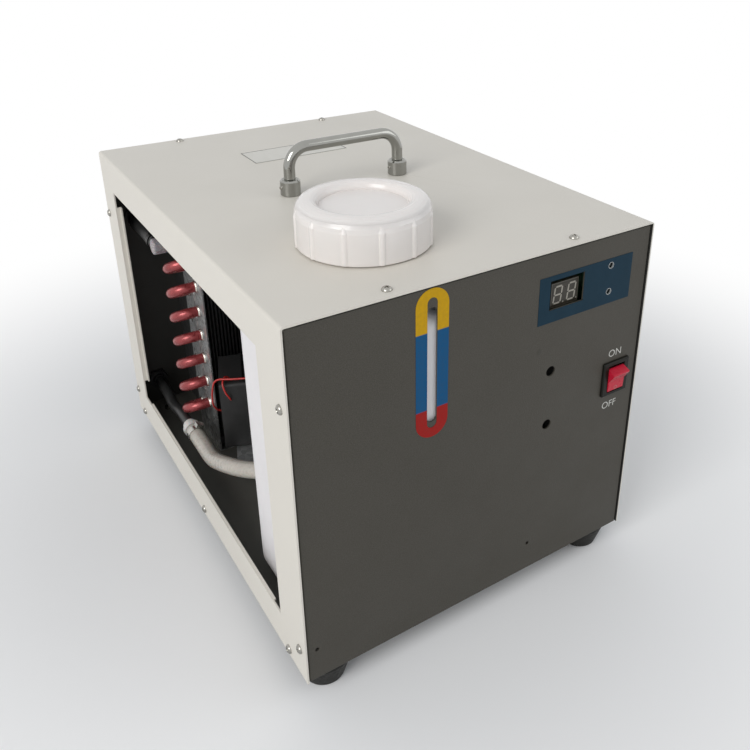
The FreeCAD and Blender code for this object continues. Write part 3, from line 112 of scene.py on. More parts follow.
def plate(outline, height):
    bm = bmesh.new()
    return raised(bm, [bm.faces.new([bm.verts.new((x, y, 0)) for x, y in outline])], height)


def border_strip(x0, y0, x1, y1, width, height):
    """A flat rectangular border: one face, inset by its width, with its middle taken out."""
    bm = bmesh.new()
    middle = bm.faces.new([bm.verts.new((x, y, 0)) for x, y in ((x0, y0), (x1, y0), (x1, y1), (x0, y1))])
    # the inset works in the face's plane, so it needs its normal
    bm.normal_update()
    rim = bmesh.ops.inset_individual(bm, faces=[middle], thickness=width, use_even_offset=True)["faces"]
    bmesh.ops.delete(bm, geom=[middle], context="FACES_ONLY")
    return raised(bm, rim, height)


# %% [markdown]
# ## From shapes to a piece
#
# A row of screws is many small bodies of one finish, and an object for each would fill the outliner. A
# `Piece` gathers them in one bmesh in casing millimetres, and `done` brings it to metres, merges what
# coincides, turns the faces outwards and smooths up to an angle, so that rims stay crisp and domes stay
# round.

# %% From shapes to a piece
CASING_TO_FRAME = Matrix.Translation(CORNER) @ Matrix.Scale(0.001, 4)


def finish_mesh(bm, mesh, angle=35.0):
    bmesh.ops.remove_doubles(bm, verts=bm.verts, dist=MERGE_M)
    bmesh.ops.recalc_face_normals(bm, faces=bm.faces)
    bm.to_mesh(mesh)
    mesh.shade_smooth()
    mesh.set_sharp_from_angle(angle=math.radians(angle))


def dress(obj, finish, body="casing", replaces=()):
    """Links a new object, gives it its finish, hangs it on its body and hides the solids it stands for."""
    bpy.context.scene.collection.objects.link(obj)
    obj.data.materials.clear()
    obj.data.materials.append(finish)
    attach(obj, body)
    if replaces:
        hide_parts(*replaces)


class Piece:
    def __init__(self):
        self.bm = bmesh.new()

    def add(self, shape, place=Matrix.Identity(4)):
        """Adds a copy of a shape at a place, so that one shape can serve many times."""
        part, mesh = shape.copy(), bpy.data.meshes.new("part")
        bmesh.ops.transform(part, matrix=place, verts=part.verts)
        part.to_mesh(mesh)
        part.free()
        self.bm.from_mesh(mesh)
        bpy.data.meshes.remove(mesh)
        return self

    def done(self, name, finish, body="casing", slot=None, angle=35.0, replaces=()):
        mesh = bpy.data.meshes.new(name)
        bmesh.ops.transform(self.bm, matrix=CASING_TO_FRAME, verts=self.bm.verts)
        finish_mesh(self.bm, mesh, angle)
        self.bm.free()
        print(name, "faces:", len(mesh.polygons))
        dress(bpy.data.objects.new(name, mesh), finish, body, replaces)


# %% [markdown]
# ## Text and booleans as shapes
#
# Text is a curve, and a boolean is a modifier. Both are worked out to a plain mesh before they get their
# place, because the export puts every object at the origin. `lettering` centres its words, so that a place
# means the middle of them.

# %% Text and booleans as shapes
def evaluated(obj):
    """The shape of an object with its modifiers or its text worked out."""
    bpy.context.scene.collection.objects.link(obj)
    bpy.context.view_layer.update()
    mesh = bpy.data.meshes.new_from_object(obj.evaluated_get(bpy.context.evaluated_depsgraph_get()))
    bpy.data.objects.remove(obj)
    bm = bmesh.new()
    bm.from_mesh(mesh)
    return bm


def lettering(text, size, depth=0.06, thin=0.0):
    """Text as a shape in millimetres, centred on the origin, facing +Z."""
    curve = bpy.data.curves.new("words", "FONT")
    curve.body, curve.size, curve.extrude = text, size, depth / 2
    curve.align_x, curve.align_y = "CENTER", "CENTER"
    curve.resolution_u, curve.offset = 4, -thin
    bm = evaluated(bpy.data.objects.new("words", curve))
    xs, ys = [v.co.x for v in bm.verts], [v.co.y for v in bm.verts]
    bmesh.ops.translate(bm, vec=(-(min(xs) + max(xs)) / 2, -(min(ys) + max(ys)) / 2, 0), verts=bm.verts)
    return bm


# %% [markdown]
# ## Material helpers
#
# Every finish is worked out in space, from the object's own coordinates in metres, so a grain of 1 mm is a
# scale near 1000 and no unwrapping is needed. `surface` is the common base: a slow change of tone, an
# uneven gloss and a fine grain in the bump. The special finishes below start from it and add their own
# pattern. Numbers that are the same all over stay on the shader's sockets.

# %% Material helpers
class Graph:
    def __init__(self, name):
        self.mat = bpy.data.materials.new(name)
        self.mat.use_nodes = True
        self.tree = self.mat.node_tree
        self.shader = self.tree.nodes["Principled BSDF"]
        self.space = self.tree.nodes.new("ShaderNodeTexCoord").outputs["Object"]
        self.height = None

    def node(self, kind, inputs=(), **props):
        n = self.tree.nodes.new(kind)
        for key, value in props.items():
            setattr(n, key, value)
        for key, value in dict(inputs).items():
            if isinstance(value, bpy.types.NodeSocket):
                self.tree.links.new(value, n.inputs[key])
            else:
                n.inputs[key].default_value = value
        return n

    def put(self, socket, value):
        if isinstance(value, bpy.types.NodeSocket):
            self.tree.links.new(value, self.shader.inputs[socket])
        else:
            self.shader.inputs[socket].default_value = value
        return self

    def where(self, stretch=(1, 1, 1), shift=(0, 0, 0)):
        return self.node("ShaderNodeMapping", {"Vector": self.space, "Scale": stretch,
                         "Location": shift}).outputs[0]

    def noise(self, scale, detail=3.0, rough=0.55, stretch=(1, 1, 1), shift=(0, 0, 0)):
        return self.node("ShaderNodeTexNoise", {"Vector": self.where(stretch, shift), "Scale": scale,
                         "Detail": detail, "Roughness": rough}).outputs["Fac"]

    def cells(self, scale, out):
        return self.node("ShaderNodeTexVoronoi", {"Vector": self.where(), "Scale": scale}).outputs[out]

    def axis(self, name):
        return self.node("ShaderNodeSeparateXYZ", {"Vector": self.space}).outputs[name]

    def math(self, op, a, b):
        return self.node("ShaderNodeMath", {0: a, 1: b}, operation=op).outputs[0]

    def span(self, value, a, b, low=0.0, high=1.0, kind="LINEAR"):
        return self.node("ShaderNodeMapRange", {"Value": value, "From Min": a, "From Max": b, "To Min": low,
                         "To Max": high}, interpolation_type=kind).outputs["Result"]

    def ramp(self, value, stops):
        n = self.node("ShaderNodeValToRGB", {"Fac": value})
        while len(n.color_ramp.elements) < len(stops):
            n.color_ramp.elements.new(0.5)
        for e, (place, color) in zip(n.color_ramp.elements, stops):
            e.position, e.color = place, (*color, 1)
        return n.outputs["Color"]

    def mix(self, amount, a, b):
        n = self.node("ShaderNodeMix", data_type="RGBA")
        for socket, value in ((n.inputs[0], amount), (n.inputs[6], a), (n.inputs[7], b)):
            if isinstance(value, bpy.types.NodeSocket):
                self.tree.links.new(value, socket)
            else:
                socket.default_value = value if isinstance(value, float) else (*value, 1)
        return n.outputs[2]

    def spots(self, centres, inner, outer):
        """1 inside the radius inner of any of the centres, falling to 0 at outer."""
        total = None
        for c in centres:
            d = self.node("ShaderNodeVectorMath", {0: self.space, 1: tuple(at(*c))},
                          operation="DISTANCE").outputs["Value"]
            s = self.span(d, inner / 1000, outer / 1000, 1.0, 0.0, "SMOOTHSTEP")
            total = s if total is None else self.math("MAXIMUM", total, s)
        return total

    def bump(self, height, strength, distance):
        values = {"Height": height, "Strength": strength, "Distance": distance}
        if self.height is not None:
            values["Normal"] = self.height
        self.height = self.node("ShaderNodeBump", values).outputs["Normal"]
        return self.put("Normal", self.height)


def times(color, k):
    return tuple(min(1.0, c * k) for c in color)


def surface(name, color, rough=0.5, metal=0.0, tone=0.06, tone_scale=14.0, wear=0.05, grain=0.0,
            grain_scale=900.0, grain_depth=0.0004, stretch=(1, 1, 1), **sockets):
    g = Graph(name)
    slow = g.noise(tone_scale, 4.0, 0.6, stretch)
    g.put("Base Color", g.ramp(slow, [(0.3, times(color, 1 - tone)), (0.7, times(color, 1 + tone))]))
    g.put("Roughness", g.span(g.noise(tone_scale * 4.3, 3.0, 0.6, stretch, (3, 1, 2)), 0.3, 0.7, rough - wear,
          rough + wear))
    g.put("Metallic", metal)
    if grain:
        g.bump(g.noise(grain_scale, 2.0, 0.5, stretch), grain, grain_depth)
    for key, value in sockets.items():
        g.put(key.replace("_", " "), value)
    return g


# %% [markdown]
# ## Powder coat
#
# The cover and the panels are folded sheet, sprayed with powder and baked. The coat could be one flat
# colour, but then a large side looks like card, so it has a fine peel in the bump and hardly any change of
# tone. The cover's inner faces are painted near black by where they lie, as painted shade for the gaps and
# the inside. The rear panel has a darker copy of the panel paint, painted shade, and the floor pan a lighter
# one, painted light. The front panel has pale flecks and the mark of a welded stud.

# %% Powder coat
finishes = {}                                          # by name, as the record calls them
cover = surface("cover_paint", (0.668, 0.637, 0.575), 0.47, tone=0.02, tone_scale=5.0, wear=0.04, grain=0.22,
                grain_scale=1100.0)
W, D, H = ((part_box("cover")[1] - CORNER) * 1000)       # the casing's width, depth and height
# past the window's guides in x, and just under the outer face
GUIDES_END, SKIN = 9.6, 1.12
across, upward = cover.axis("X"), cover.axis("Z")
past_guides = cover.math("GREATER_THAN", across, at(GUIDES_END, 0, 0).x)
short_of_right = cover.math("LESS_THAN", across, at(W - SKIN, 0, 0).x)
# painted shade: the inner faces past the guides and under the top turn near black, so the gaps and the inside
# read dark
painted_shade_inside = cover.math("MULTIPLY", past_guides, short_of_right)
painted_shade_inside = cover.math("MULTIPLY", painted_shade_inside, cover.math("LESS_THAN", upward, at(0, 0, H - SKIN).z))
cover.put("Base Color", cover.mix(painted_shade_inside, cover.shader.inputs["Base Color"].links[0].from_socket,
          (0.03, 0.03, 0.027)))
finishes["cover_paint"] = cover.mat

panel = surface("panel_paint", (0.047, 0.043, 0.034), 0.52, tone=0.05, tone_scale=6.0, wear=0.05,
                Specular_IOR_Level=0.3)
fleck = panel.noise(1500.0, 2.0, 0.6)
base = panel.shader.inputs["Base Color"].links[0].from_socket
light = panel.mix(panel.span(fleck, 0.35, 0.75), base, (0.074, 0.068, 0.056))
STUDS = [(191.5, 1.0, 200.1)]
weld = panel.spots(STUDS, 1.2, 3.4)
panel.put("Base Color", panel.mix(panel.math("MULTIPLY", weld, 0.35), light, (0.03, 0.028, 0.023)))
panel.bump(panel.noise(900.0, 2.0, 0.5), 0.3, 0.0005)
panel.bump(panel.spots(STUDS, 0.5, 4.0), 0.25, 0.0006)
finishes["panel_paint"] = panel.mat

# painted shade: the rear panel gets a darker copy of the panel paint, for the shade inside the casing
finishes["rear_panel_shaded"] = surface("panel_paint_shaded", (0.034, 0.034, 0.03), 0.6, tone=0.08, wear=0.05,
                                   grain=0.25).mat
# painted light: the floor pan gets a lighter copy of the panel paint, for the light that falls on it
finishes["panel_paint_lit"] = surface("panel_paint_lit", (0.10, 0.098, 0.086), 0.6, tone=0.08, wear=0.05,
                                  grain=0.25).mat
print("coats done, finishes so far:", len(finishes))

# %% [markdown]
# ## Bare and plated metal
#
# Zinc dipped sheet shows spangle, which are its crystals. A picture of it would need unwrapping, so Voronoi
# cells give each crystal its own grey and gloss. Steel, chrome and wire differ only in colour and gloss.
# The rear clamp pair closes on a dark hose, and two dark spots stand for the bands between.

# %% Bare and plated metal
zinc = surface("galvanised", (0.5, 0.51, 0.51), 0.38, 0.9, tone=0.05, wear=0.08)
cell = zinc.node("ShaderNodeSeparateColor", {"Color": zinc.cells(230.0, "Color")}).outputs[0]
SPANGLE = [(0.0, (0.36, 0.37, 0.37)), (0.55, (0.5, 0.51, 0.51)), (1.0, (0.72, 0.73, 0.72))]
zinc.put("Base Color", zinc.ramp(cell, SPANGLE))
zinc.put("Roughness", zinc.span(cell, 0.0, 1.0, 0.46, 0.26))
zinc.bump(zinc.noise(1400.0), 0.15, 0.0003)
finishes["galvanised"] = zinc.mat

finishes["bright_steel"] = surface("bright_steel", (0.6, 0.585, 0.55), 0.27, 1.0, tone=0.08, tone_scale=160.0,
                                   wear=0.08, grain=0.12, grain_scale=2400.0, grain_depth=0.0002).mat
finishes["chrome_plate"] = surface("chrome_plate", (0.33, 0.33, 0.31), 0.08, 1.0, tone=0.05, tone_scale=60.0,
                                   wear=0.03).mat
finishes["screw_steel"] = surface("screw_steel", (0.36, 0.35, 0.32), 0.18, 1.0, tone=0.1, tone_scale=400.0,
                                  wear=0.05).mat
band = surface("clamp_band", (0.5, 0.49, 0.46), 0.27, 1.0, tone=0.08, tone_scale=160.0, wear=0.08)
# two painted bands on the black hose
dark = band.spots([(21, y, 209.8) for y in (325.4, 381.3)], 12.0, 13.0)
band.put("Base Color", band.mix(dark, band.shader.inputs["Base Color"].links[0].from_socket,
         (0.02, 0.02, 0.02)))
finishes["clamp_band"] = band.mat
finishes["guard_wire"] = surface("guard_wire", (0.56, 0.56, 0.55), 0.24, 1.0, tone=0.06, tone_scale=120.0,
                                 wear=0.06).mat
print("metals done, finishes so far:", len(finishes))

# %% [markdown]
# ## Rubber and foam
#
# Feet and seals are matt, so their light comes from a wide, weak gloss. Foam is open, and a strong bump at
# the scale of its cells shows that better than holes would.

# %% Rubber and foam
finishes["black_rubber"] = surface("black_rubber", (0.012, 0.012, 0.01), 0.62, tone=0.2, tone_scale=90.0,
                                   wear=0.1, grain=0.35, grain_scale=1800.0, Specular_IOR_Level=0.3).mat
finishes["seal_rubber"] = surface("seal_rubber", (0.25, 0.25, 0.24), 0.6, tone=0.08, tone_scale=120.0,
                                  grain=0.2).mat
finishes["foam"] = surface("foam", (0.05, 0.05, 0.05), 0.9, tone=0.2, tone_scale=700.0, grain=0.8,
                           grain_scale=700.0, grain_depth=0.001).mat
print("rubber and foam done, finishes so far:", len(finishes))

# %% [markdown]
# ## Milky polyethylene
#
# The tank and the cap are blown and moulded in polyethylene, which lets light in and spreads it.
# Transmission would show that as glass and is noisy, so subsurface scattering is used. The cap is glossier,
# and a thin coat gives its glint.

# %% Milky polyethylene
tank = surface("tank_plastic", (0.77, 0.745, 0.75), 0.42, tone=0.03, tone_scale=18.0, wear=0.06, grain=0.2,
               grain_scale=420.0, Subsurface_Weight=0.35, Subsurface_Scale=0.006, IOR=1.51)
tank.shader.inputs["Subsurface Radius"].default_value = (1.0, 0.85, 0.9)
finishes["tank_plastic"] = tank.mat

cap = surface("cap_plastic", (0.85, 0.79, 0.755), 0.25, tone=0.02, tone_scale=26.0, wear=0.0, grain=0.04,
              grain_scale=300.0, Coat_Weight=0.25, Subsurface_Weight=0.4, Subsurface_Scale=0.009, IOR=1.51)
cap.shader.inputs["Subsurface Radius"].default_value = (1.0, 0.9, 0.88)
finishes["cap_plastic"] = cap.mat
print("milky plastics done, finishes so far:", len(finishes))

# %% [markdown]
# ## Film and ink
#
# The level sticker is one film in three colours, split by height with a narrow fringe as print has.
# Painting faces would need them cut at the borders. The label and the inks are plain, with little gloss.

# %% Film and ink
ring = surface("sticker_ring", (0.5, 0.5, 0.5), 0.36, tone=0.0, wear=0.04, grain=0.08, grain_scale=500.0,
               Specular_IOR_Level=0.12)
Z_YELLOW, Z_BLUE, FRINGE = at(0, 0, 244.2).z, at(0, 0, 187.0).z, 0.0004
YELLOW, BLUE, RED = (0.56, 0.32, 0.004), (0.0024, 0.08, 0.205), (0.32, 0.009, 0.007)
up = ring.axis("Z")
tint = ring.mix(ring.span(up, Z_BLUE - FRINGE, Z_BLUE + FRINGE), RED, BLUE)
tint = ring.mix(ring.span(up, Z_YELLOW - FRINGE, Z_YELLOW + FRINGE), tint, YELLOW)
ring.put("Base Color", ring.mix(ring.span(ring.noise(380.0), 0.3, 0.7, 0.0, 0.14), tint, (0.05, 0.04, 0.03)))
finishes["sticker_ring"] = ring.mat

label = surface("label_blue", (0.009, 0.032, 0.053), 0.4, tone=0.08, tone_scale=60.0, wear=0.06, grain=0.06,
                grain_scale=600.0, Specular_IOR_Level=0.08)
finishes["label_blue"] = label.mat
finishes["label_pale"] = surface("label_pale", (0.60, 0.585, 0.53), 0.38, tone=0.03, tone_scale=40.0,
                                 Coat_Weight=0.15).mat
finishes["print_dark"] = surface("print_dark", (0.05, 0.048, 0.042), 0.45, tone=0.1, tone_scale=300.0).mat
finishes["mark_faint"] = surface("mark_faint", (0.36, 0.22, 0.2), 0.5, tone=0.05, tone_scale=900.0).mat
finishes["print_white"] = surface("print_white", (0.62, 0.62, 0.58), 0.5, tone=0.05, tone_scale=900.0).mat
print("film and ink done, finishes so far:", len(finishes))

# %% [markdown]
# ## Display, board and switch
#
# The digits are unlit, so they are only a paler grey behind a dark pane. The switch has a matt bezel and a
# red rocker whose gloss is low enough not to wash its colour out.

# %% Display, board and switch
finishes["display_black"] = surface("display_black", (0.05, 0.045, 0.033), 0.4, tone=0.2, tone_scale=200.0,
                                    grain=0.15).mat
finishes["display_pane"] = surface("display_pane", (0.034, 0.03, 0.022), 0.3, tone=0.06, tone_scale=80.0,
                                   wear=0.04, Specular_IOR_Level=0.3).mat
finishes["segment"] = surface("segment", (0.31, 0.29, 0.245), 0.4, tone=0.06, tone_scale=400.0).mat
finishes["led_lens"] = surface("led_lens", (0.045, 0.05, 0.052), 0.22, tone=0.1, tone_scale=300.0).mat
finishes["rim_highlight"] = surface("rim_highlight", (0.42, 0.44, 0.44), 0.3, 0.6, tone=0.1, tone_scale=600.0).mat
finishes["board_green"] = surface("board_green", (0.02, 0.1, 0.04), 0.35, tone=0.25, tone_scale=300.0,
                                  grain=0.1).mat
finishes["part_black"] = surface("part_black", (0.015, 0.015, 0.015), 0.46, tone=0.2, tone_scale=90.0,
                                 wear=0.06, grain=0.25, grain_scale=1300.0).mat
finishes["switch_black"] = surface("switch_black", (0.007, 0.007, 0.005), 0.38, tone=0.15, tone_scale=120.0,
                                   wear=0.06, grain=0.12, grain_scale=1500.0, Specular_IOR_Level=0.18).mat
finishes["switch_red"] = surface("switch_red", (0.50, 0.012, 0.035), 0.3, tone=0.06, tone_scale=120.0,
                                 wear=0.04, Specular_IOR_Level=0.3).mat
finishes["terminal_brass"] = surface("terminal_brass", (0.6, 0.45, 0.2), 0.3, 1.0, tone=0.1,
                                     tone_scale=300.0).mat
print("display and switch done, finishes so far:", len(finishes))

# %% [markdown]
# ## The coil and its fins
#
# The return bends are dipped in a red enamel over copper, between paint and metal, so they are half
# metallic with a coat. The fillets are bright braze, and the fins are blackened.

# %% The coil and its fins
coil = surface("copper", (0.30, 0.05, 0.052), 0.30, 0.5, tone=0.22, tone_scale=95.0, wear=0.09,
               Coat_Weight=0.25)
finishes["copper"] = coil.mat
finishes["braze"] = surface("braze", (0.66, 0.62, 0.56), 0.24, 1.0, tone=0.15, tone_scale=500.0, wear=0.1,
                            grain=0.3, grain_scale=1500.0).mat

fins = surface("fin_black", (0.016, 0.016, 0.016), 0.45, 0.35, tone=0.15, tone_scale=60.0, wear=0.08,
               grain=0.15)
finishes["fin_black"] = fins.mat
print("coil and fins done, finishes so far:", len(finishes))

# %% [markdown]
# ## Hoses, fittings and leads
#
# The pale hose is cloudy. As for the tank, a little scattering under a coat shows that without the streaks
# that transmission leaves. The drawn can of the supply has its grain stretched along the sheet.

# %% Hoses, fittings and leads
milk = surface("hose_clear", (0.46, 0.43, 0.38), 0.3, tone=0.1, tone_scale=90.0, wear=0.08, grain=0.05,
               grain_scale=160.0, Coat_Weight=0.3, Subsurface_Weight=0.15, Subsurface_Scale=0.002, IOR=1.42)
finishes["hose_clear"] = milk.mat
finishes["hose_black"] = surface("hose_black", (0.02, 0.02, 0.02), 0.38, tone=0.15, tone_scale=90.0).mat
finishes["fitting_black"] = surface("fitting_black", (0.02, 0.02, 0.02), 0.4, tone=0.15, tone_scale=150.0,
                                    grain=0.15).mat
finishes["fitting_white"] = surface("fitting_white", (0.6, 0.6, 0.57), 0.4, tone=0.04, tone_scale=150.0,
                                    grain=0.12, Subsurface_Weight=0.2, Subsurface_Scale=0.003).mat
finishes["fitting_milky"] = surface("fitting_milky", (0.46, 0.42, 0.44), 0.26, tone=0.06, tone_scale=150.0,
                                    wear=0.05, Transmission_Weight=0.35, Subsurface_Weight=0.2,
                                    Subsurface_Scale=0.003, IOR=1.45).mat
can = surface("supply_can", (0.5, 0.5, 0.49), 0.36, 0.95, tone=0.05, tone_scale=30.0, wear=0.08, grain=0.1,
              stretch=(1, 0.05, 1))
finishes["supply_can"] = can.mat
finishes["lead_red"] = surface("lead_red", (0.42, 0.018, 0.014), 0.36, tone=0.06, tone_scale=200.0).mat
finishes["lead_black"] = surface("lead_black", (0.012, 0.012, 0.012), 0.4, tone=0.1, tone_scale=200.0).mat
print("finishes in all:", len(finishes))

# %% [markdown]
# ## Finishes on the solids
#
# Each solid could be named here with its finish, but the record has that list already, so it is read from
# there, and only the exceptions are listed. Only materials are set on a solid, and never its mesh.

# %% Finishes on the solids
# the rear panel and the floor pan take the painted shade and painted light copies of the panel paint
EXCEPT = {"base_pan": "panel_paint_lit", "rear_panel": "rear_panel_shaded", "inlet_hose": "hose_black",
          "hose_clamps": "clamp_band", "foot_screws": "screw_steel"}
slot_of = {part["node"]: part["material_slot"] for part in frame["record"]["subparts"]}
for name, obj in nodes.items():
    finish = finishes[EXCEPT.get(name, slot_of[name])]
    obj.data.materials.clear()
    obj.data.materials.append(finish)
print("solids dressed:", len(nodes))

# %% [markdown]
# ## Screws with a cross recess
#
# The cover is held by pan-head screws with a cross recess. The recess could be a dark cross painted on the
# head, but it would catch no light, so a turned dome is cut with two tapered bars by a boolean, once.
# Copies of that shape go to each place with a roll of their own, because no two screws stop at the same
# angle.

# %% Screws with a cross recess
# an arm's half width and length, as shares of the head's radius
CROSS_WIDE, CROSS_REACH = 0.13, 0.56
CROSS_FLOOR, CROSS_MOUTH = 0.35, 1.08                  # that length at the recess's floor and at its mouth
CROSS_DEEP = 0.62                                      # the recess's depth, as a share of the head's rise


def cross_head(radius, rise):
    dome = [(0, rise), (radius * 0.3, rise * 0.99), (radius * 0.62, rise * 0.88), (radius * 0.86, rise * 0.6),
            (radius * 0.97, rise * 0.28), (radius, rise * 0.08), (radius, 0), (0, 0)]
    head_mesh = bpy.data.meshes.new("head")
    finish_mesh(turned(dome, 32), head_mesh, 50)
    obj = bpy.data.objects.new("head", head_mesh)
    half, arm = radius * CROSS_WIDE, radius * CROSS_REACH
    tools = []
    for roll in (0, 90):
        bar = bmesh.new()
        bmesh.ops.create_cube(bar, size=2)
        low, top = [v for v in bar.verts if v.co.z < 0], [v for v in bar.verts if v.co.z > 0]
        for verts, reach, height in ((low, CROSS_FLOOR, rise - rise * CROSS_DEEP),
                                     (top, CROSS_MOUTH, rise + 0.5)):
            bmesh.ops.scale(bar, vec=(arm * reach, half, 0), verts=verts)
            bmesh.ops.translate(bar, vec=(0, 0, height), verts=verts)
        bmesh.ops.rotate(bar, cent=(0, 0, 0), matrix=Matrix.Rotation(math.radians(roll), 3, "Z"),
                         verts=bar.verts)
        bar_mesh = bpy.data.meshes.new("cut")
        finish_mesh(bar, bar_mesh)
        tool = bpy.data.objects.new("cut", bar_mesh)
        bpy.context.scene.collection.objects.link(tool)
        tools.append(tool)
        mod = obj.modifiers.new("cut", "BOOLEAN")
        mod.object, mod.operation, mod.solver = tool, "DIFFERENCE", "EXACT"
    shape = evaluated(obj)
    for tool in tools:
        bpy.data.objects.remove(tool)
    return shape


# screw rows behind the front edge and before the rear one
FRONT_ROW, REAR_ROW = 9.4, D - 6
LID_COLUMNS = (W / 4, W - W / 4 + 3.5)
SIDE_HEIGHTS = (25.0, 219.0)
SILL_HEIGHT, SILL_PLACES = 6.0, (29.0, D / 2 + 2.4, D - 21.0)
places = [((x, y, H), (0, 0, 1)) for x in LID_COLUMNS for y in (FRONT_ROW, REAR_ROW)]
for x, out in ((0.0, (-1, 0, 0)), (W, (1, 0, 0))):
    places += [((x, y, z), out) for z in SIDE_HEIGHTS for y in (FRONT_ROW, REAR_ROW)]
    places += [((x, y, SILL_HEIGHT), out) for y in SILL_PLACES]
cover_head, cover_shank = cross_head(3.5, 2.2), turned([(1.7, 0), (1.7, -6.0), (0, -7.4)], 12)
screws = Piece()
for k, (p, out) in enumerate(places):
    screws.add(cover_head, aim(p, out, k * 37.0 + 11))
    screws.add(cover_shank, aim(p, out))
screws.done("cover_screw_heads", finishes["screw_steel"], slot="bright_steel", angle=40,
            replaces=["cover_screws"])

# %% [markdown]
# ## The fan's screws
#
# The fan hangs on four longer screws through the lugs of its frame. They could share the cover's head, but
# the real ones are a size larger, so the same recipe runs once more with other sizes.

# %% The fan's screws
FAN_X, FAN_Z = W / 2, (box_mm("condenser_fins")[0].z + box_mm("condenser_fins")[1].z) / 2
# the lugs lie 91 mm from the fan's axis, on the diagonals
LUG = 91 / math.sqrt(2)
fan_head, fan_shank = cross_head(4.0, 2.4), turned([(1.9, 0), (1.9, -9.0), (0, -9.4)], 12)
fan_screws = Piece()
for k, (i, j) in enumerate(((-1, -1), (1, -1), (1, 1), (-1, 1))):
    p = (FAN_X + i * LUG, D - 1 + 1.8, FAN_Z + j * LUG)
    fan_screws.add(fan_head, aim(p, (0, 1, 0), k * 53.0))
    fan_screws.add(fan_shank, aim(p, (0, 1, 0)))
fan_screws.done("fan_screw_heads", finishes["screw_steel"], slot="bright_steel", angle=40,
                replaces=["fan_screws"])

# %% [markdown]
# ## The window's guides
#
# A filter screen slides in guides round the side window. The real guides stand closer to the sheet than the
# solid's, and the window ends a little further back. New strips could be laid over the old ones, but the
# old would still show, so a copy of the cover, with the points of its guides and of the window's rear edge
# moved, stands for the cover.

# %% The window's guides
NEAR = {8.0: 3.8, 9.2: 5.0}                            # upright guides: lip's outer and inner face, in x
LOW = {8.0: 1.5, 9.2: 2.5}                             # the guides along the bottom and the top
ENDS_Z, ENDS_Y = {60.0: 49.0, 237.0: 232.5}, {341.0: 350.0, 50.0: 54.0}
LIPS_Y, LIPS_Z = {358.5: 358.0, 42.5: 43.0}, {32.5: 30.6, 244.5: 246.4}
# bands round the window
REAR, FRONT_SIDE, BOTTOM, TOP = (358.0, 363.0), (38.0, 43.0), (28.0, 33.0), (244.0, 249.0)
# past the sheet's inner face, and how far the rear edge moves
SHEET_IN, REAR_SHIFT = 1.1, 4.5


def snapped(value, table):
    """The new value for an old one that stands in the table, and any other value as it is."""
    return next((new for old, new in table.items() if abs(value - old) < 0.02), value)


def within(value, band):
    return band[0] < value < band[1]


solid = nodes["cover"]
copy = bmesh.new()
copy.from_mesh(solid.data)
bmesh.ops.remove_doubles(copy, verts=copy.verts, dist=MERGE_M)
to_casing = CASING_TO_FRAME.inverted() @ solid.matrix_world
for v in copy.verts:
    q = to_casing @ v.co
    if q.x < GUIDES_END and within(q.z, (BOTTOM[0], TOP[1])):
        rear = within(q.y, REAR)
        upright = rear or within(q.y, FRONT_SIDE)
        level = within(q.z, BOTTOM) or within(q.z, TOP)
        if upright and q.x > SHEET_IN and not level:
            q.x, q.y, q.z = snapped(q.x, NEAR), snapped(q.y, LIPS_Y), snapped(q.z, ENDS_Z)
        elif level and q.x > SHEET_IN:
            q.x, q.y, q.z = snapped(q.x, LOW), snapped(q.y, ENDS_Y), snapped(q.z, LIPS_Z)
        if rear:
            q.y += REAR_SHIFT
        v.co = to_casing.inverted() @ q
mesh = bpy.data.meshes.new("cover_trimmed")
copy.to_mesh(mesh)
copy.free()
print("cover_trimmed points:", len(mesh.vertices))
trimmed = bpy.data.objects.new("cover_trimmed", mesh)
trimmed.matrix_world = solid.matrix_world.copy()
dress(trimmed, finishes["cover_paint"], replaces=["cover"])

# %% [markdown]
# ## The neck's thread
#
# The tank's neck has a coarse thread, which shows when the cap lifts. The solids leave it out. A curve with
# a bevel could give it, but its ends would stop dead, so a small four-cornered section is spun with a rise,
# and its crest then sinks into the neck over the first and the last steps.

# %% The neck's thread
NECK_X, NECK_Y, THREAD_Z, NECK_RADIUS = 100.0, 83.5, 283.5, 41.0
PITCH, TURNS, STEPS, RUN_OUT = 6.0, 2.0, 72, 8.0       # RUN_OUT is in steps
ROOT, CREST, ROOT_HALF, CREST_HALF = -0.4, 1.3, 1.1, 0.35
section = [(ROOT, -ROOT_HALF), (CREST, -CREST_HALF), (CREST, CREST_HALF), (ROOT, ROOT_HALF)]
count = int(TURNS * STEPS)
thread = bmesh.new()
corners = [thread.verts.new((NECK_RADIUS + out, 0, up)) for out, up in section]
loop = [thread.edges.new((corners[k], corners[(k + 1) % 4])) for k in range(4)]
bmesh.ops.spin(thread, geom=corners + loop, cent=(0, 0, 0), axis=(0, 0, 1), dvec=(0, 0, PITCH / STEPS),
               angle=TURNS * math.tau, steps=count)
for v in thread.verts:
    along = math.hypot(v.co.x, v.co.y)
    # a point of the crest: its height and its turn say which step it is
    if along > NECK_RADIUS:
        turn = math.atan2(v.co.y, v.co.x) % math.tau
        step = min((STEPS * (turn + math.tau * n) / math.tau for n in range(int(TURNS) + 1)),
                   key=lambda i: abs(abs(v.co.z - PITCH * i / STEPS) - CREST_HALF))
        sunk = NECK_RADIUS + CREST * max(0.0, min(1.0, step / RUN_OUT, (count - step) / RUN_OUT))
        v.co.x, v.co.y = v.co.x * sunk / along, v.co.y * sunk / along
bmesh.ops.holes_fill(thread, edges=[e for e in thread.edges if e.is_boundary], sides=4)
neck = Piece().add(thread, Matrix.Translation((NECK_X, NECK_Y, THREAD_Z)))
neck.done("neck_thread", finishes["tank_plastic"], slot="tank_plastic", angle=40)

# %% [markdown]
# ## Print on the front
#
# The words beside the switch are screen print, a few hundredths of a millimetre thick. A texture of them
# would blur in a close view, so they are thin meshes. The rocker's marks ride on the rocker, so they turn
# with it.

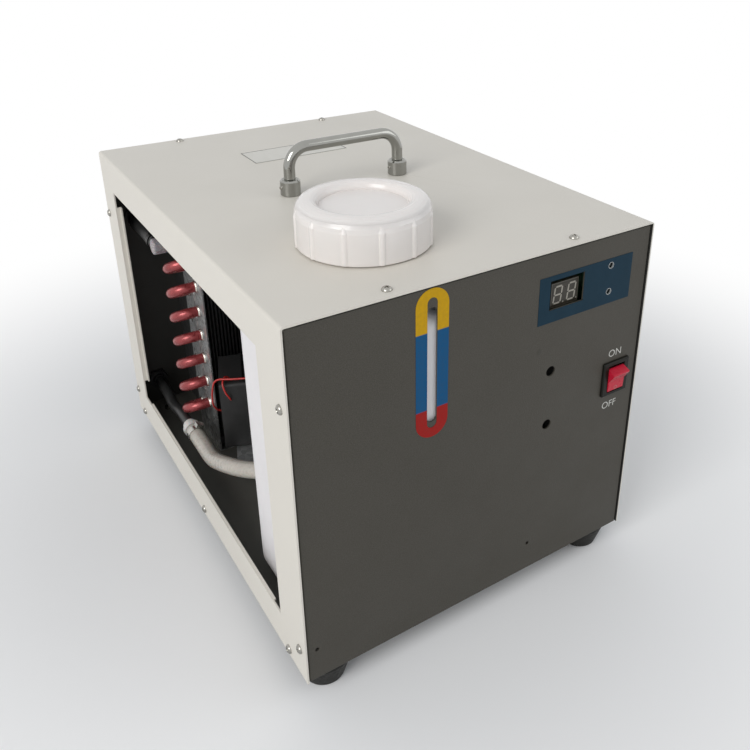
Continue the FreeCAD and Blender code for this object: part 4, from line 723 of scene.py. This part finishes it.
# %% Print on the front
FRONT = box_mm("front_panel")[0].y                      # outer face of the front panel
SWITCH_X, SWITCH_Z = 270.3, 153.8
WORDS = {"ON": (268.6, 175.8), "OFF": (268.1, 129.3)}   # the middle of each, in x and z
WORD_SIZE, WORD_THIN, OFF_PANEL = 8.7, 0.1, 0.02
words = Piece()
for word, (x, z) in WORDS.items():
    words.add(lettering(word, WORD_SIZE, thin=WORD_THIN), aim((x, FRONT - OFF_PANEL, z), (0, -1, 0)))
words.done("switch_words", finishes["print_white"], slot="label_pale")

TILT, PIN_Y, LIP, VALLEY, HALF = math.radians(18.5), FRONT + 1.0, 6.8, 4.6, 8.6


def on_rocker(half, share):
    """A place at a share of the way from the valley to the edge of the rocker's upper (+1) or lower (-1) face."""
    turn = Matrix.Rotation(TILT, 3, "X")
    spot = turn @ Vector((0, -VALLEY - (LIP - VALLEY) * share, half * HALF * share))
    out = turn @ Vector((0, -HALF, -half * (LIP - VALLEY))).normalized()
    return Vector((SWITCH_X, PIN_Y, SWITCH_Z)) + spot, out


marks = Piece()
p, out = on_rocker(-1, 0.76)
marks.add(turned([(1.3, 0), (1.6, 0), (1.6, 0.06), (1.3, 0.06), (1.3, 0)], 28), aim(p, out))
p, out = on_rocker(1, 0.6)
marks.add(plate([(-0.15, -1.7), (0.15, -1.7), (0.15, 1.7), (-0.15, 1.7)], 0.06), aim(p, out))
marks.done("rocker_marks", finishes["mark_faint"], body="rocker", slot="label_pale")

# %% [markdown]
# ## The digits and the lamps
#
# A seven-segment digit is seven bars with pointed ends, leaning a few degrees. A font has rounder ones, so
# each bar is a six-cornered face between two corners of the digit, raised a little. Each of the two lamps
# has a pale ring: partly the rim of its lens, and its paleness a painted highlight for the ring of light on
# the lens.

# %% The digits and the lamps
pane_lo, pane_hi = box_mm("display_pane")


def segment(a, b, w):
    """One bar of a digit from a to b with pointed ends."""
    (x0, y0), (x1, y1) = a, b
    length = math.hypot(x1 - x0, y1 - y0)
    ux, uy = (x1 - x0) / length, (y1 - y0) / length
    h = w / 2
    local = [(0, 0), (h, -h), (length - h, -h), (length, 0), (length - h, h), (h, h)]
    return [(x0 + ux * s - uy * t, y0 + uy * s + ux * t) for s, t in local]


digits = Piece()
DIGITS_X, DIGIT_Z, DIGIT_Y = (207.95, 220.5), (pane_lo.z + pane_hi.z) / 2, pane_lo.y - 0.01
WIDE, HIGH, BAR, GAP, SLANT = 6.5, 12.6, 1.25, 0.3, math.tan(math.radians(6.7))
for cx in DIGITS_X:
    corners = {"tl": (-WIDE / 2, HIGH / 2), "tr": (WIDE / 2, HIGH / 2), "ml": (-WIDE / 2, 0),
               "mr": (WIDE / 2, 0), "bl": (-WIDE / 2, -HIGH / 2), "br": (WIDE / 2, -HIGH / 2)}
    for a, b in (("tl", "tr"), ("ml", "mr"), ("bl", "br"), ("ml", "tl"), ("mr", "tr"), ("bl", "ml"),
                 ("br", "mr")):
        (x0, z0), (x1, z1) = corners[a], corners[b]
        length = math.hypot(x1 - x0, z1 - z0)
        sx, sz = (x1 - x0) / length * GAP, (z1 - z0) / length * GAP
        outline = segment((x0 + sx, z0 + sz), (x1 - sx, z1 - sz), BAR)
        bar_shape = plate([(x + z * SLANT, z) for x, z in outline], 0.05)
        digits.add(bar_shape, aim((cx, DIGIT_Y, DIGIT_Z), (0, -1, 0)))
    point = turned([(0.6, 0), (0.6, 0.05), (0, 0.05)], 16)
    digits.add(point, aim((cx + 5.15, DIGIT_Y, DIGIT_Z - HIGH / 2 - 0.2), (0, -1, 0)))
digits.done("display_digits", finishes["segment"], slot="led_lens")

led_lo, led_hi = box_mm("indicator_leds")
# painted highlight: a pale ring round each lamp stands for the ring of light on its lens, partly its real rim
LAMP_R, RIM_R, RIM_ROOT, RIM_RISE = 2.2, 2.58, -1.0, 0.26
LAMP_IN = 2.9                                          # a lamp's middle, from the end of its node's box
rim = turned([(LAMP_R, RIM_ROOT), (LAMP_R, RIM_RISE), (RIM_R, RIM_RISE), (RIM_R, RIM_ROOT),
             (LAMP_R, RIM_ROOT)], 32)
lamp_rim_highlights = Piece()
for z in (led_lo.z + LAMP_IN, led_hi.z - LAMP_IN):
    lamp_rim_highlights.add(rim, aim(((led_lo.x + led_hi.x) / 2, FRONT, z), (0, -1, 0)))
lamp_rim_highlights.done("led_rim_highlights", finishes["rim_highlight"], slot="led_lens")

# %% [markdown]
# ## Print on the stickers
#
# The pale label on the top has a thin dark border. A line could be drawn in its finish, but a strip of its
# own keeps an even width. One face is inset by that width and its middle is taken out.

# %% Print on the stickers
lo, hi = box_mm("top_sticker")
border = Piece()
EDGE, LINE = 0.2, 0.8
border.add(border_strip(lo.x + EDGE, lo.y + EDGE, hi.x - EDGE, hi.y - EDGE, LINE, 0.04),
           aim((0, 0, hi.z + 0.005)))
border.done("top_label_border", finishes["print_dark"], slot="panel_paint")

# %% [markdown]
# ## Solder on the coil
#
# Each return bend is brazed into its tube where it leaves the end plate, and the fillet is left bright. A
# bump on the coil couldn't stand out from it, so each fillet is a small turned ring, made once and copied
# to both ends of each tube.

# %% Solder on the coil
fin_lo, fin_hi = box_mm("condenser_fins")
left_x, right_x = box_mm("end_plate_left")[0].x, box_mm("end_plate_right")[1].x
# ROW: how far a row of tubes lies from the pack's middle
TUBE_R, TUBES, STEP, ROW = 4.75, 15, 12.2, 11
top_z = fin_hi.z - STEP
fillet = [(TUBE_R + 0.02, 0), (TUBE_R + 0.75, 0.1), (TUBE_R + 0.8, 0.7), (TUBE_R + 0.35, 1.35),
          (TUBE_R + 0.02, 1.6)]
solder = Piece()
fillet_ring = turned(fillet + [(TUBE_R + 0.02, 0)], 24)
for k in range(TUBES):
    y = (fin_lo.y + fin_hi.y) / 2 + (ROW if k % 2 == 0 else -ROW)
    z = top_z - k * STEP
    solder.add(fillet_ring, aim((left_x + 0.1, y, z), (-1, 0, 0)))
    solder.add(fillet_ring, aim((right_x - 0.1, y, z), (1, 0, 0)))
solder.done("braze_rings", finishes["braze"], slot="bright_steel")

# %% [markdown]
# ## The floor
#
# The floor is pale and takes the object's shadow. A brighter lamp would turn it white but bleach the object
# too, so it turns to plain white away from the object, for the camera, mirrors and glass only, and adds no
# light.

# %% The floor
FADE_FROM, FADE_TO, HALF_FLOOR = 0.25, 0.75, 6.0       # metres from the middle
floor_mesh, sheet = bpy.data.meshes.new("floor"), bmesh.new()
bmesh.ops.create_grid(sheet, x_segments=1, y_segments=1, size=HALF_FLOOR)
sheet.to_mesh(floor_mesh)
sheet.free()
floor = bpy.data.objects.new("floor", floor_mesh)
bpy.context.scene.collection.objects.link(floor)
g = Graph("floor")
g.put("Base Color", (0.86, 0.86, 0.86, 1)).put("Roughness", 0.9)
glow = g.node("ShaderNodeEmission", {"Color": (1, 1, 1, 1), "Strength": 1.0}).outputs[0]
path = g.node("ShaderNodeLightPath")
seen = g.math("MAXIMUM", path.outputs["Is Camera Ray"], path.outputs["Is Glossy Ray"])
seen = g.math("MAXIMUM", seen, path.outputs["Is Transmission Ray"])
away = g.node("ShaderNodeVectorMath", {0: g.space}, operation="LENGTH").outputs["Value"]
fade = g.span(away, FADE_FROM, FADE_TO, 0.0, 1.0, "SMOOTHSTEP")
blend = g.node("ShaderNodeMixShader", {0: g.math("MULTIPLY", seen, fade), 1: g.shader.outputs[0], 2: glow})
g.tree.links.new(blend.outputs[0], g.tree.nodes["Material Output"].inputs["Surface"])
floor_mesh.materials.append(g.mat)
print("floor", 2 * HALF_FLOOR, "m wide")

# %% [markdown]
# ## The sky
#
# The world is a weak, even sky. As for the floor, the camera, mirrors and glass see white in its place.

# %% The sky
world = bpy.data.worlds.new("studio")
bpy.context.scene.world = world
world.use_nodes = True
wt = world.node_tree
for n in list(wt.nodes):
    wt.nodes.remove(n)
w_path = wt.nodes.new("ShaderNodeLightPath")
w_sky, w_white = wt.nodes.new("ShaderNodeBackground"), wt.nodes.new("ShaderNodeBackground")
w_sky.inputs["Color"].default_value, w_sky.inputs["Strength"].default_value = (0.93, 0.96, 1.0, 1), 0.55
w_white.inputs["Color"].default_value, w_white.inputs["Strength"].default_value = (1, 1, 1, 1), 1.0
m1, m2, w_mix, w_out = (wt.nodes.new("ShaderNodeMath"), wt.nodes.new("ShaderNodeMath"),
                        wt.nodes.new("ShaderNodeMixShader"), wt.nodes.new("ShaderNodeOutputWorld"))
m1.operation = m2.operation = "MAXIMUM"
wt.links.new(w_path.outputs["Is Camera Ray"], m1.inputs[0])
wt.links.new(w_path.outputs["Is Glossy Ray"], m1.inputs[1])
wt.links.new(m1.outputs[0], m2.inputs[0])
wt.links.new(w_path.outputs["Is Transmission Ray"], m2.inputs[1])
wt.links.new(m2.outputs[0], w_mix.inputs[0])
wt.links.new(w_sky.outputs[0], w_mix.inputs[1])
wt.links.new(w_white.outputs[0], w_mix.inputs[2])
wt.links.new(w_mix.outputs[0], w_out.inputs["Surface"])
print("sky strength", round(w_sky.inputs["Strength"].default_value, 2))


# %% [markdown]
# ## Lamps and camera
#
# A broad lamp from the left and above gives the light its direction, and a weaker one from the right opens
# the shadows. The camera has the place, lens and shift that bring the casing's corners onto the
# photograph's.

# %% Lamps and camera
def lamp(name, place, size, power, target=(0, 0, 0.15), color=(1, 1, 1)):
    data = bpy.data.lights.new(name, "AREA")
    data.shape, data.size, data.size_y = "RECTANGLE", size[0], size[1]
    data.energy, data.color = power, color
    obj = bpy.data.objects.new(name, data)
    obj.location = place
    obj.rotation_euler = (Vector(target) - Vector(place)).to_track_quat("-Z", "Y").to_euler()
    bpy.context.scene.collection.objects.link(obj)
    print("lamp", name, power, "W")


lamp("key", (-1.95, -0.85, 1.5), (1.3, 1.3), 30.0, color=(1.0, 0.99, 0.975))
lamp("fill", (1.6, -1.3, 1.2), (1.6, 1.2), 7.0, color=(0.97, 0.985, 1.0))

cam_data = bpy.data.cameras.new("camera")
camera = bpy.data.objects.new("camera", cam_data)
bpy.context.scene.collection.objects.link(camera)
bpy.context.scene.camera = camera
cam_data.sensor_width, cam_data.lens = 36.0, 39.33
cam_data.shift_x, cam_data.shift_y = -0.0733, -0.1462
cam_data.clip_start, cam_data.clip_end = 0.02, 50
az, el, roll = math.radians(-33.718), math.radians(24.364), math.radians(0.326)
forward = Vector((-math.sin(az) * math.cos(el), math.cos(az) * math.cos(el), -math.sin(el)))
camera.location = at(-149.5, -371.1, 492.6)
camera.rotation_euler = (forward.to_track_quat("-Z", "Y").to_matrix() @ Matrix.Rotation(roll, 3,
                         "Z")).to_euler()

bpy.context.scene.view_settings.view_transform = "Standard"
print("camera lens", round(cam_data.lens, 2), "mm")
